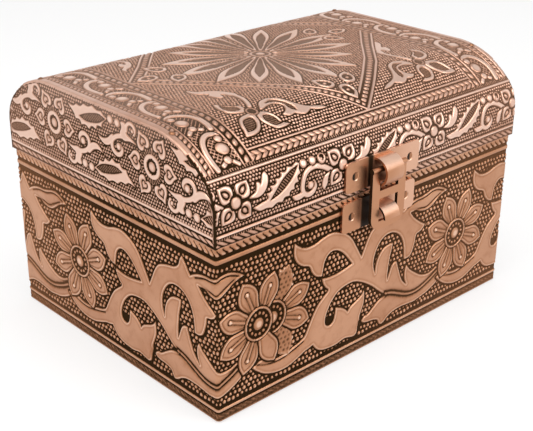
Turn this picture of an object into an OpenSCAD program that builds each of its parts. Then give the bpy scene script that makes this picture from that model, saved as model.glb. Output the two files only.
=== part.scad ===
// Sweet box: a wooden casket clad in embossed copper sheet, with a rounded lid on two rim
// hinges, a velvet lining and a swinging hasp loop at the front.
// X runs along the front, -Y is the front, +Z is up, and the origin is the centre of the base.

/* [Body] */
// Width of the body over its copper sheet
body_w = 150; // [120:1:200]
// Depth of the body over its copper sheet
body_d = 116; // [100:1:160]
// Height of the body from its folded bottom edge to its rim
body_h = 63; // [50:1:100]
// Thickness of the wooden walls
wall_t = 5; // [4.5:0.25:7]
// Thickness of the wooden base board
base_t = 4; // [3:0.5:6]
// Radius of the copper sheet at the upright corners
corner_r = 1.5; // [1.2:0.1:2]

/* [Copper sheet] */
// Depth of the embossed sheet, from its back to its highest relief
sheet_t = 0.8; // [0.7:0.05:1]
// Depth of the ground below the highest relief
ground_drop = 0.35; // [0.2:0.05:0.45]
// Thickness of the sheet where it is folded flat over an edge
fold_t = 0.4; // [0.3:0.05:0.6]
// Width of the fold under the base board
base_fold_w = 8; // [5:0.5:12]
// Height of the plain border line above the bottom edge
low_line_z = 3.9; // [3:0.1:6]
// Drop of the plain border line below the rim
high_line_drop = 6.0; // [5:0.1:8]
// Width of a plain border line
line_w = 1.1; // [0.8:0.1:1.6]
// Gap of the seam where the ends of the body sheet meet
seam_gap = 0.3; // [0.2:0.05:0.5]
// Distance of that seam from the end of the back
seam_in = 23; // [21:1:40]

/* [Lid] */
// How far the lid stands out past the body on every side
lid_over = 1; // [0.5:0.1:2]
// Gap between the rim of the body and the lid
rim_gap = 0.3; // [0.2:0.05:0.5]
// Height of the upright part of the lid's front
lid_side_h = 10.5; // [8:0.5:20]
// Radius of the lower part of the lid's shoulder
shoulder_r = 15.8; // [14:0.2:20]
// Radius of the upper part of the lid's shoulder
crown_r = 35.9; // [30:0.1:40]
// Angle at which the two radii of the shoulder meet
shoulder_a = 45; // [35:1:55]
// Thickness of the lid's boards
lid_t = 4; // [3:0.25:5]
// Width of the top sheet's hem on the ends of the lid
hem_w = 3; // [2:0.25:5]
// Distance of the hem's tacks from the ends of the lid
tack_inset = 2.2; // [1.8:0.1:3]
// Distance of the hem's tacks from the top of the shoulder, along the depth
tack_in = 8; // [4:0.5:14]

/* [Lining] */
// Thickness of the felt under the base
felt_t = 0.6; // [0.4:0.1:1.5]
// Inset of the felt from the edges of the base
felt_inset = 3; // [2:0.5:5]
// Thickness of the padded velvet floor
floor_pad_t = 2.5; // [1.5:0.25:5]
// Thickness of the velvet cards on the walls
wall_card_t = 1.5; // [1:0.25:2.5]
// Thickness of the velvet in the lid
lid_velvet_t = 1; // [0.6:0.1:2]
// Drop of the velvet below the rims
velvet_drop = 1; // [0.5:0.25:3]

/* [Hasp] */
// Distance of the hasp from the middle of the front
hasp_x = -1.5; // [-6:0.5:6]
// Width of the hasp plates
plate_w = 37; // [32:0.5:44]
// Height of the hasp plate on the lid
plate_h = 10.8; // [10:0.2:14]
// Height of the keeper plate on the body
keeper_h = 11; // [9:0.5:14]
// Thickness of the hasp plates
plate_t = 0.8; // [0.6:0.1:1.2]
// Height of the lid plate's lower edge above the rim
plate_rise = 2.6; // [1.5:0.1:4]
// Drop of the keeper plate's upper edge below the rim
keeper_drop = 1.5; // [0.5:0.1:3]
// Radius of the plates' corners
plate_r = 1.6; // [0.8:0.1:3]
// Distance of the nails from the ends of the plates
nail_inset = 4.6; // [3.5:0.1:6]
// Width of the rolled hood that carries the loop
hood_w = 8.6; // [6:0.2:9]
// Outer radius of the hood
hood_r = 5.2; // [4.8:0.1:6]
// Distance of the hood's centre in front of the plate
hood_out = 0.6; // [0:0.1:1.5]
// Height of the hood's centre above the rim
hood_rise = 7.2; // [6.5:0.1:8]
// Depth of the nail heads below the faces of the plates
nail_sink = 0.15; // [0.05:0.05:0.3]

/* [Hasp loop] */
// Width of the loop
loop_w = 17; // [15:0.5:20]
// Width of the loop's arms
arm_w = 3.8; // [2.5:0.1:4]
// Thickness of the loop
loop_t = 1.2; // [0.8:0.1:1.6]
// Height of the loop's pivot above the rim
pivot_rise = 8.8; // [8:0.1:9.5]
// Distance of the pivot in front of the lid plate
pivot_out = 2.4; // [2:0.1:3]
// Radius of the round bar that the loop turns on
pivot_r = 1.0; // [0.7:0.05:1.2]
// Drop of the loop's lowest point below the rim
loop_drop = 13.3; // [12:0.1:15]
// Height of the loop's bottom bar
loop_bar_h = 3.0; // [2:0.1:3.4]
// Height of the loop's cross bar
cross_h = 2.9; // [2:0.1:3.2]
// Drop of the cross bar's lower edge below the rim
cross_drop = 1.8; // [1:0.1:2.6]
// Radius of the loop's lower corners
loop_r = 4.5; // [2:0.1:6]
// Width of the keeper's hook
hook_w = 7.6; // [5:0.2:8]
// Outer radius of the hook
hook_r = 4.5; // [3.8:0.1:5]
// Drop of the hook's top below the rim
hook_drop = 5.0; // [4.4:0.1:5.4]
// Distance of the hook's centre in front of the body
hook_out = 2.6; // [2:0.1:3]

/* [Hinges] */
// Distance of each hinge's middle from the end of the body
hinge_in = 33; // [31:1:40]
// Length of a hinge
hinge_w = 24; // [18:1:30]
// Radius of a hinge's knuckles
knuckle_r = 1.5; // [1.3:0.05:1.8]
// Radius of a hinge's pin
hinge_pin_r = 0.7; // [0.5:0.05:0.8]
// Running clearance of the pin in the knuckles
pin_clear = 0.05; // [0.02:0.01:0.1]
// Distance of the pin behind the body's back
pin_out = 0.1; // [0:0.02:0.2]
// Thickness of a hinge leaf
leaf_t = 0.8; // [0.6:0.05:1]
// Clearance around the knuckles, and between them
knuckle_clear = 0.35; // [0.3:0.05:0.5]
// End gap between neighbouring knuckles
knuckle_gap = 0.15; // [0.1:0.05:0.3]
// Inset of the body's hinge leaves from the inner face of the wall
leaf_inset = 0.7; // [0.3:0.1:1.2]
// Inset of the lid's hinge leaves from the inner face of the rail
lid_leaf_inset = 0.2; // [0.1:0.05:0.3]

/* [Hidden] */
$fn = 64;

// colours, as the photograph shows them
copper = [0.80, 0.56, 0.45];
hasp_copper = [0.87, 0.62, 0.47];
board_brown = [0.62, 0.45, 0.29];
velvet_red = [0.45, 0.05, 0.09];
felt_black = [0.12, 0.11, 0.11];

// levels, from the surface that the box stands on
body_z0 = felt_t;
wall_z0 = body_z0 + fold_t + base_t;
rim_z = body_z0 + body_h;
wall_top = rim_z - fold_t;
lid_z0 = rim_z + rim_gap;
spring_z = lid_z0 + lid_side_h;

// half sizes of the body: outside, face of the boards, inside of the boards
body_x = body_w / 2;
body_y = body_d / 2;
board_x = body_x - sheet_t;
board_y = body_y - sheet_t;
inner_x = board_x - wall_t;
inner_y = board_y - wall_t;
seam_x = body_x - seam_in;

// half sizes of the lid, and the rise and width of its shoulder
lid_x = body_x + lid_over;
lid_y = body_y + lid_over;
lid_wood = sheet_t + lid_t;
arc_step = crown_r - shoulder_r;
shoulder_y = shoulder_r * (1 - cos(shoulder_a)) + crown_r * cos(shoulder_a);
shoulder_z = shoulder_r * sin(shoulder_a) + crown_r * (1 - sin(shoulder_a));
lid_top = spring_z + shoulder_z;

// the hasp's own levels and faces
plate_z0 = rim_z + plate_rise;
plate_y = -lid_y - plate_t;
hood_z = rim_z + hood_rise;
hood_y = plate_y - hood_out;
pivot_y = plate_y - pivot_out;
pivot_z = rim_z + pivot_rise;
keeper_z0 = rim_z - keeper_drop - keeper_h;
hook_z = rim_z - hook_drop - hook_r;
hook_y = -body_y - hook_out;
loop_z0 = rim_z - loop_drop;
window_w = loop_w - 2 * arm_w;
nail_z = plate_h / 2;
nail_r = 0.6;
nail_head_r = 1.25;
nail_len = 4.5;
sink_rim = 0.4;
// where the hood's curl starts in the plate and where it ends below, from straight out
hood_back_a = 135;
hood_end_a = -80;

// the hinges' own places and levels
hinge_x = body_x - hinge_in;
pin_y = body_y + pin_out;
pin_z = rim_z + rim_gap / 2;
bore_r = hinge_pin_r + pin_clear;
notch_r = knuckle_r + knuckle_clear;
knuckle_w = hinge_w / 3;
pin_head_t = 0.5;
pin_head_r = 1.2;
notch_w = hinge_w + 2 * (pin_head_t + knuckle_clear);
hinge_nail_r = 0.45;
hinge_nail_head_r = 0.9;
hinge_nail_len = 6;
hinge_nail_x = hinge_w / 3;

// inner edge and lower face of a hinge leaf, and the line of its nails; dir is 1 on the body
// and -1 on the lid
function leaf_y0(dir) = dir > 0 ? inner_y + leaf_inset : lid_y - lid_wood + lid_leaf_inset;
function leaf_z0(dir) = dir > 0 ? rim_z - leaf_t : lid_z0;
function leaf_nail_y(dir) = (leaf_y0(dir) + pin_y - notch_r) / 2;

// tacks through the hem of the top sheet
tack_x = lid_x - tack_inset;
tack_y = lid_y - shoulder_y + tack_in;
tack_r = 1.1;
tack_dome_h = 0.5;
tack_shank_r = 0.5;
tack_len = 5;

// small values: a hair's overlap, how far a cut runs past what it cuts, the seam's ends
eps = 0.01;
past = 1;
seam_end = 1;
pad_gap = 0.2;

// ---- shared shapes ----

// a block given by its lowest and highest corners
module block(a, b) {
  translate(a) cube([b[0] - a[0], b[1] - a[1], b[2] - a[2]]);
}

// lays a drawing of the (y, z) plane along x
module along_x(x0, x1) {
  translate([x0, 0, 0]) rotate([90, 0, 90]) linear_extrude(x1 - x0) children();
}

// one shoulder of the lid's section, made of its two arcs
module shoulder(inset) {
  cy = -lid_y + shoulder_r;
  gy = cy + arc_step * cos(shoulder_a);
  gz = spring_z - arc_step * sin(shoulder_a);
  meet_y = cy - (shoulder_r - inset) * cos(shoulder_a);
  translate([cy, spring_z]) circle(shoulder_r - inset, $fn = 128);
  intersection() {
    translate([gy, gz]) circle(crown_r - inset, $fn = 192);
    translate([meet_y, gz]) square([crown_r * 2, crown_r * 2]);
  }
}

// the lid's section in the (y, z) plane, drawn in by inset on the curve and the sides
module lid_section(inset, z0 = lid_z0) {
  half = lid_y - inset;
  low = lid_z0 - past;
  intersection() {
    union() {
      translate([-half, low]) square([2 * half, spring_z - low]);
      translate([-lid_y + shoulder_y, low])
        square([2 * (lid_y - shoulder_y), lid_top - inset - low]);
      shoulder(inset);
      mirror([1, 0]) shoulder(inset);
    }
    translate([-half, z0]) square([2 * half, lid_top - z0]);
  }
}

// the hem of the top sheet as it shows on an end of the lid
module hem_section() {
  difference() {
    lid_section(0, spring_z);
    lid_section(hem_w, spring_z - past);
  }
}

// a nail along -Z with a countersunk head whose top lies at the origin; as a hole it runs out
// past the head by cut
module sunk_nail(shank_r, head_r, len, cut = 0) {
  head_t = head_r - shank_r;
  if (cut > 0) translate([0, 0, -eps]) cylinder(r = head_r, h = eps + cut);
  translate([0, 0, -len]) cylinder(r = shank_r, h = len - head_t);
  translate([0, 0, -head_t]) cylinder(r1 = shank_r, r2 = head_r, h = head_t);
}

// what the notches for the knuckles take out of the boards and the sheet
module hinge_notches() {
  for (side = [-1, 1])
    translate([side * hinge_x - notch_w / 2, pin_y, pin_z]) rotate([0, 90, 0])
      cylinder(r = notch_r, h = notch_w);
}

// the recesses of the hinge leaves on one rim, open towards the other rim
module leaf_recesses(dir) {
  z0 = leaf_z0(dir) - (dir > 0 ? 0 : past);
  z1 = leaf_z0(dir) + leaf_t + (dir > 0 ? past : 0);
  for (side = [-1, 1])
    block([side * hinge_x - hinge_w / 2, leaf_y0(dir), z0],
      [side * hinge_x + hinge_w / 2, lid_y + past, z1]);
}

// the four nails of the hinge leaves on one rim
module hinge_nail_set(dir, cut = 0) {
  face_z = pin_z - dir * rim_gap / 2;
  for (side = [-1, 1], end = [-1, 1])
    translate([side * hinge_x + end * hinge_nail_x, leaf_nail_y(dir), face_z])
      rotate([dir > 0 ? 0 : 180, 0, 0])
        sunk_nail(hinge_nail_r, hinge_nail_head_r, hinge_nail_len, cut);
}

// the two nails of a hasp plate whose front face is at face_y
module plate_nail_set(face_y, z) {
  for (side = [-1, 1])
    translate([hasp_x + side * (plate_w / 2 - nail_inset), face_y + nail_sink, z])
      rotate([90, 0, 0]) sunk_nail(nail_r, nail_head_r, nail_len);
}

// the four tacks of the top sheet's hem, standing on the crown
module tack_set() {
  for (side = [-1, 1], end = [-1, 1]) {
    gy = end * (lid_y - shoulder_y);
    gz = lid_top - crown_r;
    lean = asin((end * tack_y - gy) / crown_r);
    translate([side * tack_x, gy, gz]) rotate([-lean, 0, 0])
      translate([0, 0, crown_r]) children();
  }
}

// ---- body of the box ----

module base_felt() {
  x = body_x - felt_inset;
  y = body_y - felt_inset;
  cx = body_x - base_fold_w;
  cy = body_y - base_fold_w;
  color(felt_black) {
    block([-x, -y, 0], [x, y, felt_t]);
    block([-cx, -cy, felt_t - eps], [cx, cy, felt_t + fold_t]);
  }
}

module base_board() {
  color(board_brown) block([-board_x, -board_y, body_z0 + fold_t], [board_x, board_y, wall_z0]);
}

module front_wall() {
  color(board_brown) difference() {
    block([-board_x, -board_y, wall_z0], [board_x, -inner_y, wall_top]);
    plate_nail_set(-body_y - plate_t, keeper_z0 + keeper_h / 2);
  }
}

module back_wall() {
  color(board_brown) difference() {
    block([-board_x, inner_y, wall_z0], [board_x, board_y, wall_top]);
    hinge_notches();
    leaf_recesses(1);
    hinge_nail_set(1);
  }
}

module side_wall(side) {
  color(board_brown) translate([side * (board_x - wall_t / 2), 0, 0])
    block([-wall_t / 2, -inner_y, wall_z0], [wall_t / 2, inner_y, wall_top]);
}

module left_wall() {
  side_wall(-1);
}

module right_wall() {
  side_wall(1);
}

// plan of the body with rounded upright corners
module body_plan(inset) {
  x = body_x - inset;
  y = body_y - inset;
  r = corner_r - inset;
  square([2 * (x - r), 2 * y], center = true);
  square([2 * x, 2 * (y - r)], center = true);
  for (sx = [-1, 1], sy = [-1, 1])
    translate([sx * (x - r), sy * (y - r)]) circle(r);
}

// the lowered ground between the plain border lines, all round the body
module body_ground() {
  z0 = body_z0 + low_line_z + line_w / 2;
  z1 = rim_z - high_line_drop - line_w / 2;
  translate([0, 0, z0]) linear_extrude(z1 - z0) difference() {
    square([body_w + past, body_d + past], center = true);
    body_plan(ground_drop);
  }
}

module body_sheet() {
  color(copper) difference() {
    translate([0, 0, body_z0]) linear_extrude(body_h) body_plan(0);
    block([-board_x, -board_y, body_z0 + fold_t], [board_x, board_y, wall_top]);
    block([base_fold_w - body_x, base_fold_w - body_y, body_z0 - past],
      [body_x - base_fold_w, body_y - base_fold_w, rim_z]);
    block([-inner_x, -inner_y, wall_top - past], [inner_x, inner_y, rim_z + past]);
    body_ground();
    hinge_notches();
    leaf_recesses(1);
    plate_nail_set(-body_y - plate_t, keeper_z0 + keeper_h / 2);
    block([seam_x, board_y - eps, body_z0 + fold_t + seam_end],
      [seam_x + seam_gap, body_y + past, wall_top - seam_end]);
  }
}

module floor_pad() {
  x = inner_x - pad_gap;
  y = inner_y - pad_gap;
  color(velvet_red) block([-x, -y, wall_z0], [x, y, wall_z0 + floor_pad_t]);
}

module long_velvet(side) {
  y0 = side > 0 ? inner_y - wall_card_t : -inner_y;
  color(velvet_red) block([-inner_x, y0, wall_z0 + floor_pad_t],
    [inner_x, y0 + wall_card_t, rim_z - velvet_drop]);
}

module front_velvet() {
  long_velvet(-1);
}

module back_velvet() {
  long_velvet(1);
}

module short_velvet(side) {
  x0 = side > 0 ? inner_x - wall_card_t : -inner_x;
  y = inner_y - wall_card_t;
  color(velvet_red) block([x0, -y, wall_z0 + floor_pad_t],
    [x0 + wall_card_t, y, rim_z - velvet_drop]);
}

module left_velvet() {
  short_velvet(-1);
}

module right_velvet() {
  short_velvet(1);
}

// ---- hasp ----

// a plate with rounded corners, standing in the (x, z) plane with its back at back_y
module standing_plate(w, h, r, z0, back_y) {
  translate([hasp_x, back_y, z0 + h / 2]) rotate([90, 0, 0]) linear_extrude(plate_t) {
    square([w - 2 * r, h], center = true);
    square([w, h - 2 * r], center = true);
    for (sx = [-1, 1], sz = [-1, 1])
      translate([sx * (w / 2 - r), sz * (h / 2 - r)]) circle(r);
  }
}

// a curl of sheet as wide as w round an axis along x; it runs from angle a0 to a1, where 0
// points to the front and 90 points up
module curl(w, r, a0, a1) {
  rotate([0, 90, 0]) rotate([0, 0, -90]) translate([0, 0, -w / 2])
    rotate([0, 0, -a1]) rotate_extrude(angle = a1 - a0) translate([r - plate_t, 0])
      square([plate_t, w]);
}

module countersinks(face_y, z) {
  for (side = [-1, 1])
    translate([hasp_x + side * (plate_w / 2 - nail_inset), face_y + plate_t, z])
      rotate([90, 0, 0]) cylinder(r1 = nail_r, r2 = nail_head_r + sink_rim, h = plate_t + eps);
}

module keeper_plate() {
  face_y = -body_y - plate_t;
  mid_z = keeper_z0 + keeper_h / 2;
  color(hasp_copper) {
    difference() {
      standing_plate(plate_w, keeper_h, plate_r, keeper_z0, -body_y);
      countersinks(face_y, mid_z);
    }
    block([hasp_x - hook_w / 2, hook_y, hook_z + hook_r - plate_t],
      [hasp_x + hook_w / 2, -body_y - plate_t / 2, hook_z + hook_r]);
    translate([hasp_x, hook_y, hook_z]) curl(hook_w, hook_r, 0, 90);
  }
}

module keeper_nails() {
  color(hasp_copper) plate_nail_set(-body_y - plate_t, keeper_z0 + keeper_h / 2);
}

module hasp_plate() {
  color(hasp_copper) {
    difference() {
      standing_plate(plate_w, plate_h, plate_r, plate_z0, -lid_y);
      countersinks(plate_y, plate_z0 + nail_z);
    }
    difference() {
      translate([hasp_x, hood_y, hood_z]) curl(hood_w, hood_r, hood_end_a, hood_back_a);
      block([hasp_x - plate_w, plate_y + plate_t / 2, plate_z0 - plate_h],
        [hasp_x + plate_w, 0, plate_z0 + 2 * plate_h]);
    }
  }
}

module hasp_nails() {
  color(hasp_copper) plate_nail_set(plate_y, plate_z0 + nail_z);
}

module hasp_loop() {
  top = pivot_z - loop_z0;
  cross_z0 = loop_drop - cross_drop;
  color(hasp_copper) translate([hasp_x, pivot_y, loop_z0]) {
    rotate([90, 0, 0]) translate([0, 0, -loop_t / 2]) linear_extrude(loop_t) difference() {
      union() {
        translate([-loop_w / 2, loop_r]) square([loop_w, top - loop_r]);
        translate([loop_r - loop_w / 2, 0]) square([loop_w - 2 * loop_r, top]);
        for (side = [-1, 1])
          translate([side * (loop_w / 2 - loop_r), loop_r]) circle(loop_r);
      }
      translate([-window_w / 2, loop_bar_h]) square([window_w, cross_z0 - loop_bar_h]);
      translate([-window_w / 2, cross_z0 + cross_h]) square([window_w, top]);
    }
    translate([-loop_w / 2, 0, top]) rotate([0, 90, 0]) cylinder(r = pivot_r, h = loop_w);
  }
}

// ---- hinges ----

// one knuckle from x0 to x1 round the hinge's axis
module knuckle(x0, x1) {
  translate([x0, pin_y, pin_z]) rotate([0, 90, 0]) cylinder(r = knuckle_r, h = x1 - x0);
}

// a hinge leaf at the origin of x
module hinge_leaf(dir) {
  z0 = leaf_z0(dir);
  half = hinge_w / 2;
  third = knuckle_w / 2;
  spans = dir > 0 ? [[-half, -third], [third, half]] : [[knuckle_gap - third, third - knuckle_gap]];
  difference() {
    union() {
      block([-half, leaf_y0(dir), z0], [half, pin_y - notch_r, z0 + leaf_t]);
      for (span = spans) {
        block([span[0], leaf_y0(dir), z0], [span[1], pin_y, z0 + leaf_t]);
        knuckle(span[0], span[1]);
      }
    }
    translate([-half - past, pin_y, pin_z]) rotate([0, 90, 0])
      cylinder(r = bore_r, h = hinge_w + 2 * past);
  }
}

module placed_leaf(side, dir) {
  color(hasp_copper) difference() {
    translate([side * hinge_x, 0, 0]) hinge_leaf(dir);
    hinge_nail_set(dir, past);
  }
}

module left_hinge_body_leaf() {
  placed_leaf(-1, 1);
}

module right_hinge_body_leaf() {
  placed_leaf(1, 1);
}

module left_hinge_lid_leaf() {
  placed_leaf(-1, -1);
}

module right_hinge_lid_leaf() {
  placed_leaf(1, -1);
}

module hinge_pin(side) {
  color(hasp_copper) translate([side * hinge_x - hinge_w / 2, pin_y, pin_z]) rotate([0, 90, 0]) {
    cylinder(r = hinge_pin_r, h = hinge_w);
    for (z = [-pin_head_t, hinge_w]) translate([0, 0, z]) cylinder(r = pin_head_r, h = pin_head_t);
  }
}

module left_hinge_pin() {
  hinge_pin(-1);
}

module right_hinge_pin() {
  hinge_pin(1);
}

module hinge_body_nails() {
  color(hasp_copper) hinge_nail_set(1);
}

module hinge_lid_nails() {
  color(hasp_copper) hinge_nail_set(-1);
}

// ---- lid ----

module lid_end(side) {
  x0 = side > 0 ? lid_x - lid_wood : sheet_t - lid_x;
  color(board_brown) difference() {
    along_x(x0, x0 + lid_t) lid_section(sheet_t, lid_z0 + fold_t);
    tack_set() sunk_tack();
  }
}

module lid_left_end() {
  lid_end(-1);
}

module lid_right_end() {
  lid_end(1);
}

module lid_front_rail() {
  x = lid_x - lid_wood;
  color(board_brown) difference() {
    block([-x, sheet_t - lid_y, lid_z0 + fold_t], [x, lid_wood - lid_y, spring_z]);
    plate_nail_set(plate_y, plate_z0 + nail_z);
  }
}

module lid_back_rail() {
  x = lid_x - lid_wood;
  color(board_brown) difference() {
    block([-x, lid_y - lid_wood, lid_z0 + fold_t], [x, lid_y - sheet_t, spring_z]);
    hinge_notches();
    leaf_recesses(-1);
    hinge_nail_set(-1);
  }
}

module lid_top_board() {
  x = lid_x - lid_wood;
  color(board_brown) along_x(-x, x) difference() {
    lid_section(sheet_t, spring_z);
    lid_section(lid_wood, spring_z - past);
  }
}

// the folds of the sheet under the front and back rails
module lid_long_folds() {
  for (side = [-1, 1])
    block([-lid_x, side > 0 ? lid_y - lid_wood : -lid_y, lid_z0],
      [lid_x, side > 0 ? lid_y : lid_wood - lid_y, lid_z0 + fold_t]);
}

module lid_top_sheet() {
  color(copper) difference() {
    union() {
      along_x(-lid_x, lid_x) difference() {
        lid_section(0);
        lid_section(sheet_t, lid_z0 - past);
      }
      lid_long_folds();
      for (x0 = [-lid_x, lid_x - sheet_t]) along_x(x0, x0 + sheet_t) hem_section();
    }
    hinge_notches();
    leaf_recesses(-1);
    plate_nail_set(plate_y, plate_z0 + nail_z);
    tack_set() sunk_tack();
  }
}

module lid_end_sheet(side) {
  x0 = side > 0 ? lid_x - sheet_t : -lid_x;
  fold_x = side > 0 ? lid_x - lid_wood : -lid_x;
  y = lid_y - lid_wood;
  color(copper) {
    along_x(x0, x0 + sheet_t) difference() {
      lid_section(sheet_t, lid_z0 + fold_t);
      hem_section();
    }
    block([fold_x, -y, lid_z0], [fold_x + lid_wood, y, lid_z0 + fold_t]);
  }
}

module lid_left_sheet() {
  lid_end_sheet(-1);
}

module lid_right_sheet() {
  lid_end_sheet(1);
}

// the shank of a tack, along -Z below the sheet's face
module sunk_tack() {
  translate([0, 0, -tack_len]) cylinder(r = tack_shank_r, h = tack_len + eps);
}

module sheet_tacks() {
  dome_r = (tack_r * tack_r + tack_dome_h * tack_dome_h) / (2 * tack_dome_h);
  color(hasp_copper) tack_set() {
    translate([0, 0, -tack_len]) cylinder(r = tack_shank_r, h = tack_len + tack_dome_h / 2);
    intersection() {
      translate([0, 0, tack_dome_h - dome_r]) sphere(dome_r);
      translate([0, 0, 2 * eps]) cylinder(r = tack_r, h = tack_dome_h);
    }
  }
}

module lid_velvet() {
  x = lid_x - lid_wood - lid_velvet_t;
  z0 = lid_z0 + velvet_drop;
  color(velvet_red) along_x(-x, x) difference() {
    lid_section(lid_wood, z0);
    lid_section(lid_wood + lid_velvet_t, z0 - past);
  }
}

module lid_end_velvet(side) {
  x0 = side > 0 ? lid_x - lid_wood - lid_velvet_t : lid_wood - lid_x;
  color(velvet_red) along_x(x0, x0 + lid_velvet_t)
    lid_section(lid_wood, lid_z0 + velvet_drop);
}

module lid_left_velvet() {
  lid_end_velvet(-1);
}

module lid_right_velvet() {
  lid_end_velvet(1);
}

// ---- what is drawn ----

base_felt();
base_board();
front_wall();
back_wall();
left_wall();
right_wall();
body_sheet();
floor_pad();
front_velvet();
back_velvet();
left_velvet();
right_velvet();
keeper_plate();
keeper_nails();
left_hinge_body_leaf();
right_hinge_body_leaf();
left_hinge_pin();
right_hinge_pin();
hinge_body_nails();
lid_left_end();
lid_right_end();
lid_front_rail();
lid_back_rail();
lid_top_board();
lid_top_sheet();
lid_left_sheet();
lid_right_sheet();
sheet_tacks();
lid_velvet();
lid_left_velvet();
lid_right_velvet();
hasp_plate();
hasp_nails();
left_hinge_lid_leaf();
right_hinge_lid_leaf();
hinge_lid_nails();
hasp_loop();
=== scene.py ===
import math

import bpy
import numpy as np
from mathutils import Euler, Matrix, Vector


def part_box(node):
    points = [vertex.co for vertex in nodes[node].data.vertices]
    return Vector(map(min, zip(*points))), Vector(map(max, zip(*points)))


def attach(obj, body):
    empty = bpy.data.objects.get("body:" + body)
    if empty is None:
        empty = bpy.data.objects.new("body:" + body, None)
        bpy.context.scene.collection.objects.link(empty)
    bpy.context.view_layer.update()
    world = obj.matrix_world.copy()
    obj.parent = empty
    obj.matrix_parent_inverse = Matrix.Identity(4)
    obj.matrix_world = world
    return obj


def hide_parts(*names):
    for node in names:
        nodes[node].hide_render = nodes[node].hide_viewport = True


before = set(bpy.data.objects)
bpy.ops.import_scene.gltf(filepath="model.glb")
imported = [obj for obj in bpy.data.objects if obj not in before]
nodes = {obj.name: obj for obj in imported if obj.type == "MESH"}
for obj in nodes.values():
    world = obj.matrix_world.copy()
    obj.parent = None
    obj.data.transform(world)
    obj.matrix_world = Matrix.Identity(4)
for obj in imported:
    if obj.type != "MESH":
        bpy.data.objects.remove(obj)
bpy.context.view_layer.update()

MM = 0.001

# ---- Table, camera and light ----
# The box stands on a white table in a white studio and is seen from its front left corner,
# a little from above. Large soft lamps hang over it and at its left, and white card around
# it is what its copper mirrors.
scene = bpy.context.scene
scene.view_settings.view_transform = "Standard"

camera_azimuth = math.radians(42.91)
camera_elevation = math.radians(24.65)
camera_roll = math.radians(0.29)
camera_data = bpy.data.cameras.new("camera")
camera_data.sensor_width = 36
camera_data.lens = 72.3
camera = bpy.data.objects.new("camera", camera_data)
camera.location = (-0.2606, -0.2802, 0.2080)
aim = Euler((math.pi / 2 - camera_elevation, 0, -camera_azimuth)).to_matrix()
camera.rotation_euler = (aim @ Matrix.Rotation(camera_roll, 3, "Z")).to_euler()
scene.collection.objects.link(camera)
scene.camera = camera


def fill(socket, value):
    """Links the output of a node to an input, or gives the input a plain value."""
    if isinstance(value, bpy.types.NodeSocket):
        socket.id_data.links.new(value, socket)
    else:
        socket.default_value = value


def give(node, **values):
    """Gives a shader node its settings and fills its inputs, each by name with _ for a space."""
    for name, value in values.items():
        if hasattr(node, name):
            setattr(node, name, value)
        else:
            fill(node.inputs[name.replace("_", " ")], value)
    return node


def put(tree, kind, **values):
    """A new node of a shader tree."""
    return give(tree.nodes.new("ShaderNode" + kind), **values)


def combine(tree, operation, *values, **settings):
    """What a Math node makes of up to three values."""
    node = put(tree, "Math", operation=operation, **settings)
    for socket, value in zip(node.inputs, values):
        fill(socket, value)
    return node.outputs[0]


def ramp(tree, value, start, end, low=0.0, high=1.0):
    """A value that goes from low to high as another goes from start to end."""
    return put(tree, "MapRange", Value=value, From_Min=start, From_Max=end, To_Min=low,
               To_Max=high).outputs["Result"]


def coordinates(tree, kind):
    """The X, Y and Z of a kind of texture coordinate."""
    return put(tree, "SeparateXYZ", Vector=put(tree, "TexCoord").outputs[kind]).outputs


def new_material(name):
    """A material with a Principled surface, and its node tree and that surface's node."""
    material = bpy.data.materials.new(name)
    material.use_nodes = True
    tree = material.node_tree
    return material, tree, tree.nodes["Principled BSDF"]


def seen_directly(tree):
    """1 on rays that come straight from the camera, off gloss or through glass, else 0."""
    rays = put(tree, "LightPath").outputs
    straight = combine(tree, "MAXIMUM", rays["Is Camera Ray"], rays["Is Glossy Ray"])
    return combine(tree, "MAXIMUM", straight, rays["Is Transmission Ray"])


def mix_shaders(tree, share, first, second, output):
    """Ends a tree in the first shader where share is 0 and in the second where it is 1."""
    mix = put(tree, "MixShader", Fac=share)
    fill(mix.inputs[1], first.outputs[0])
    fill(mix.inputs[2], second.outputs[0])
    fill(tree.nodes[output].inputs["Surface"], mix.outputs[0])


world = bpy.data.worlds.new("studio")
scene.world = world
world.use_nodes = True
world_tree = world.node_tree
world_light = give(world_tree.nodes["Background"], Color=(1, 0.985, 0.97, 1), Strength=0.55)
# what the copper mirrors is white low down and greyer overhead
world_card = ramp(world_tree, coordinates(world_tree, "Generated")["Z"], 0.35, 0.9, 1.0, 0.45)
world_white = put(world_tree, "Background", Color=world_card, Strength=1.0)
mix_shaders(world_tree, seen_directly(world_tree), world_light, world_white, "World Output")

table_half = 2.0
table_mesh = bpy.data.meshes.new("table")
table_mesh.from_pydata([(-table_half, -table_half, 0), (table_half, -table_half, 0),
                        (table_half, table_half, 0), (-table_half, table_half, 0)],
                       [], [(0, 1, 2, 3)])
table = bpy.data.objects.new("table", table_mesh)
scene.collection.objects.link(table)
white, white_tree, white_paint = new_material("white_table")
give(white_paint, Base_Color=(0.9, 0.9, 0.9, 1), Roughness=0.9)
white_glow = put(white_tree, "Emission", Color=(1, 1, 1, 1), Strength=1.0)
white_share = combine(white_tree, "MULTIPLY", seen_directly(white_tree), 0.62)
mix_shaders(white_tree, white_share, white_paint, white_glow, "Material Output")
table_mesh.materials.append(white)


def soft_lamp(name, azimuth, elevation, distance, size, power):
    """A square area lamp that looks at the box from that side; angles as the camera's."""
    data = bpy.data.lights.new(name, "AREA")
    data.size = size
    data.energy = power
    lamp = bpy.data.objects.new(name, data)
    aim_height = 0.05
    a, e = math.radians(azimuth), math.radians(elevation)
    lamp.location = (-distance * math.sin(a) * math.cos(e), -distance * math.cos(a) * math.cos(e),
                     distance * math.sin(e) + aim_height)
    lamp.rotation_euler = (math.pi / 2 - e, 0, -a)
    scene.collection.objects.link(lamp)


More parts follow.
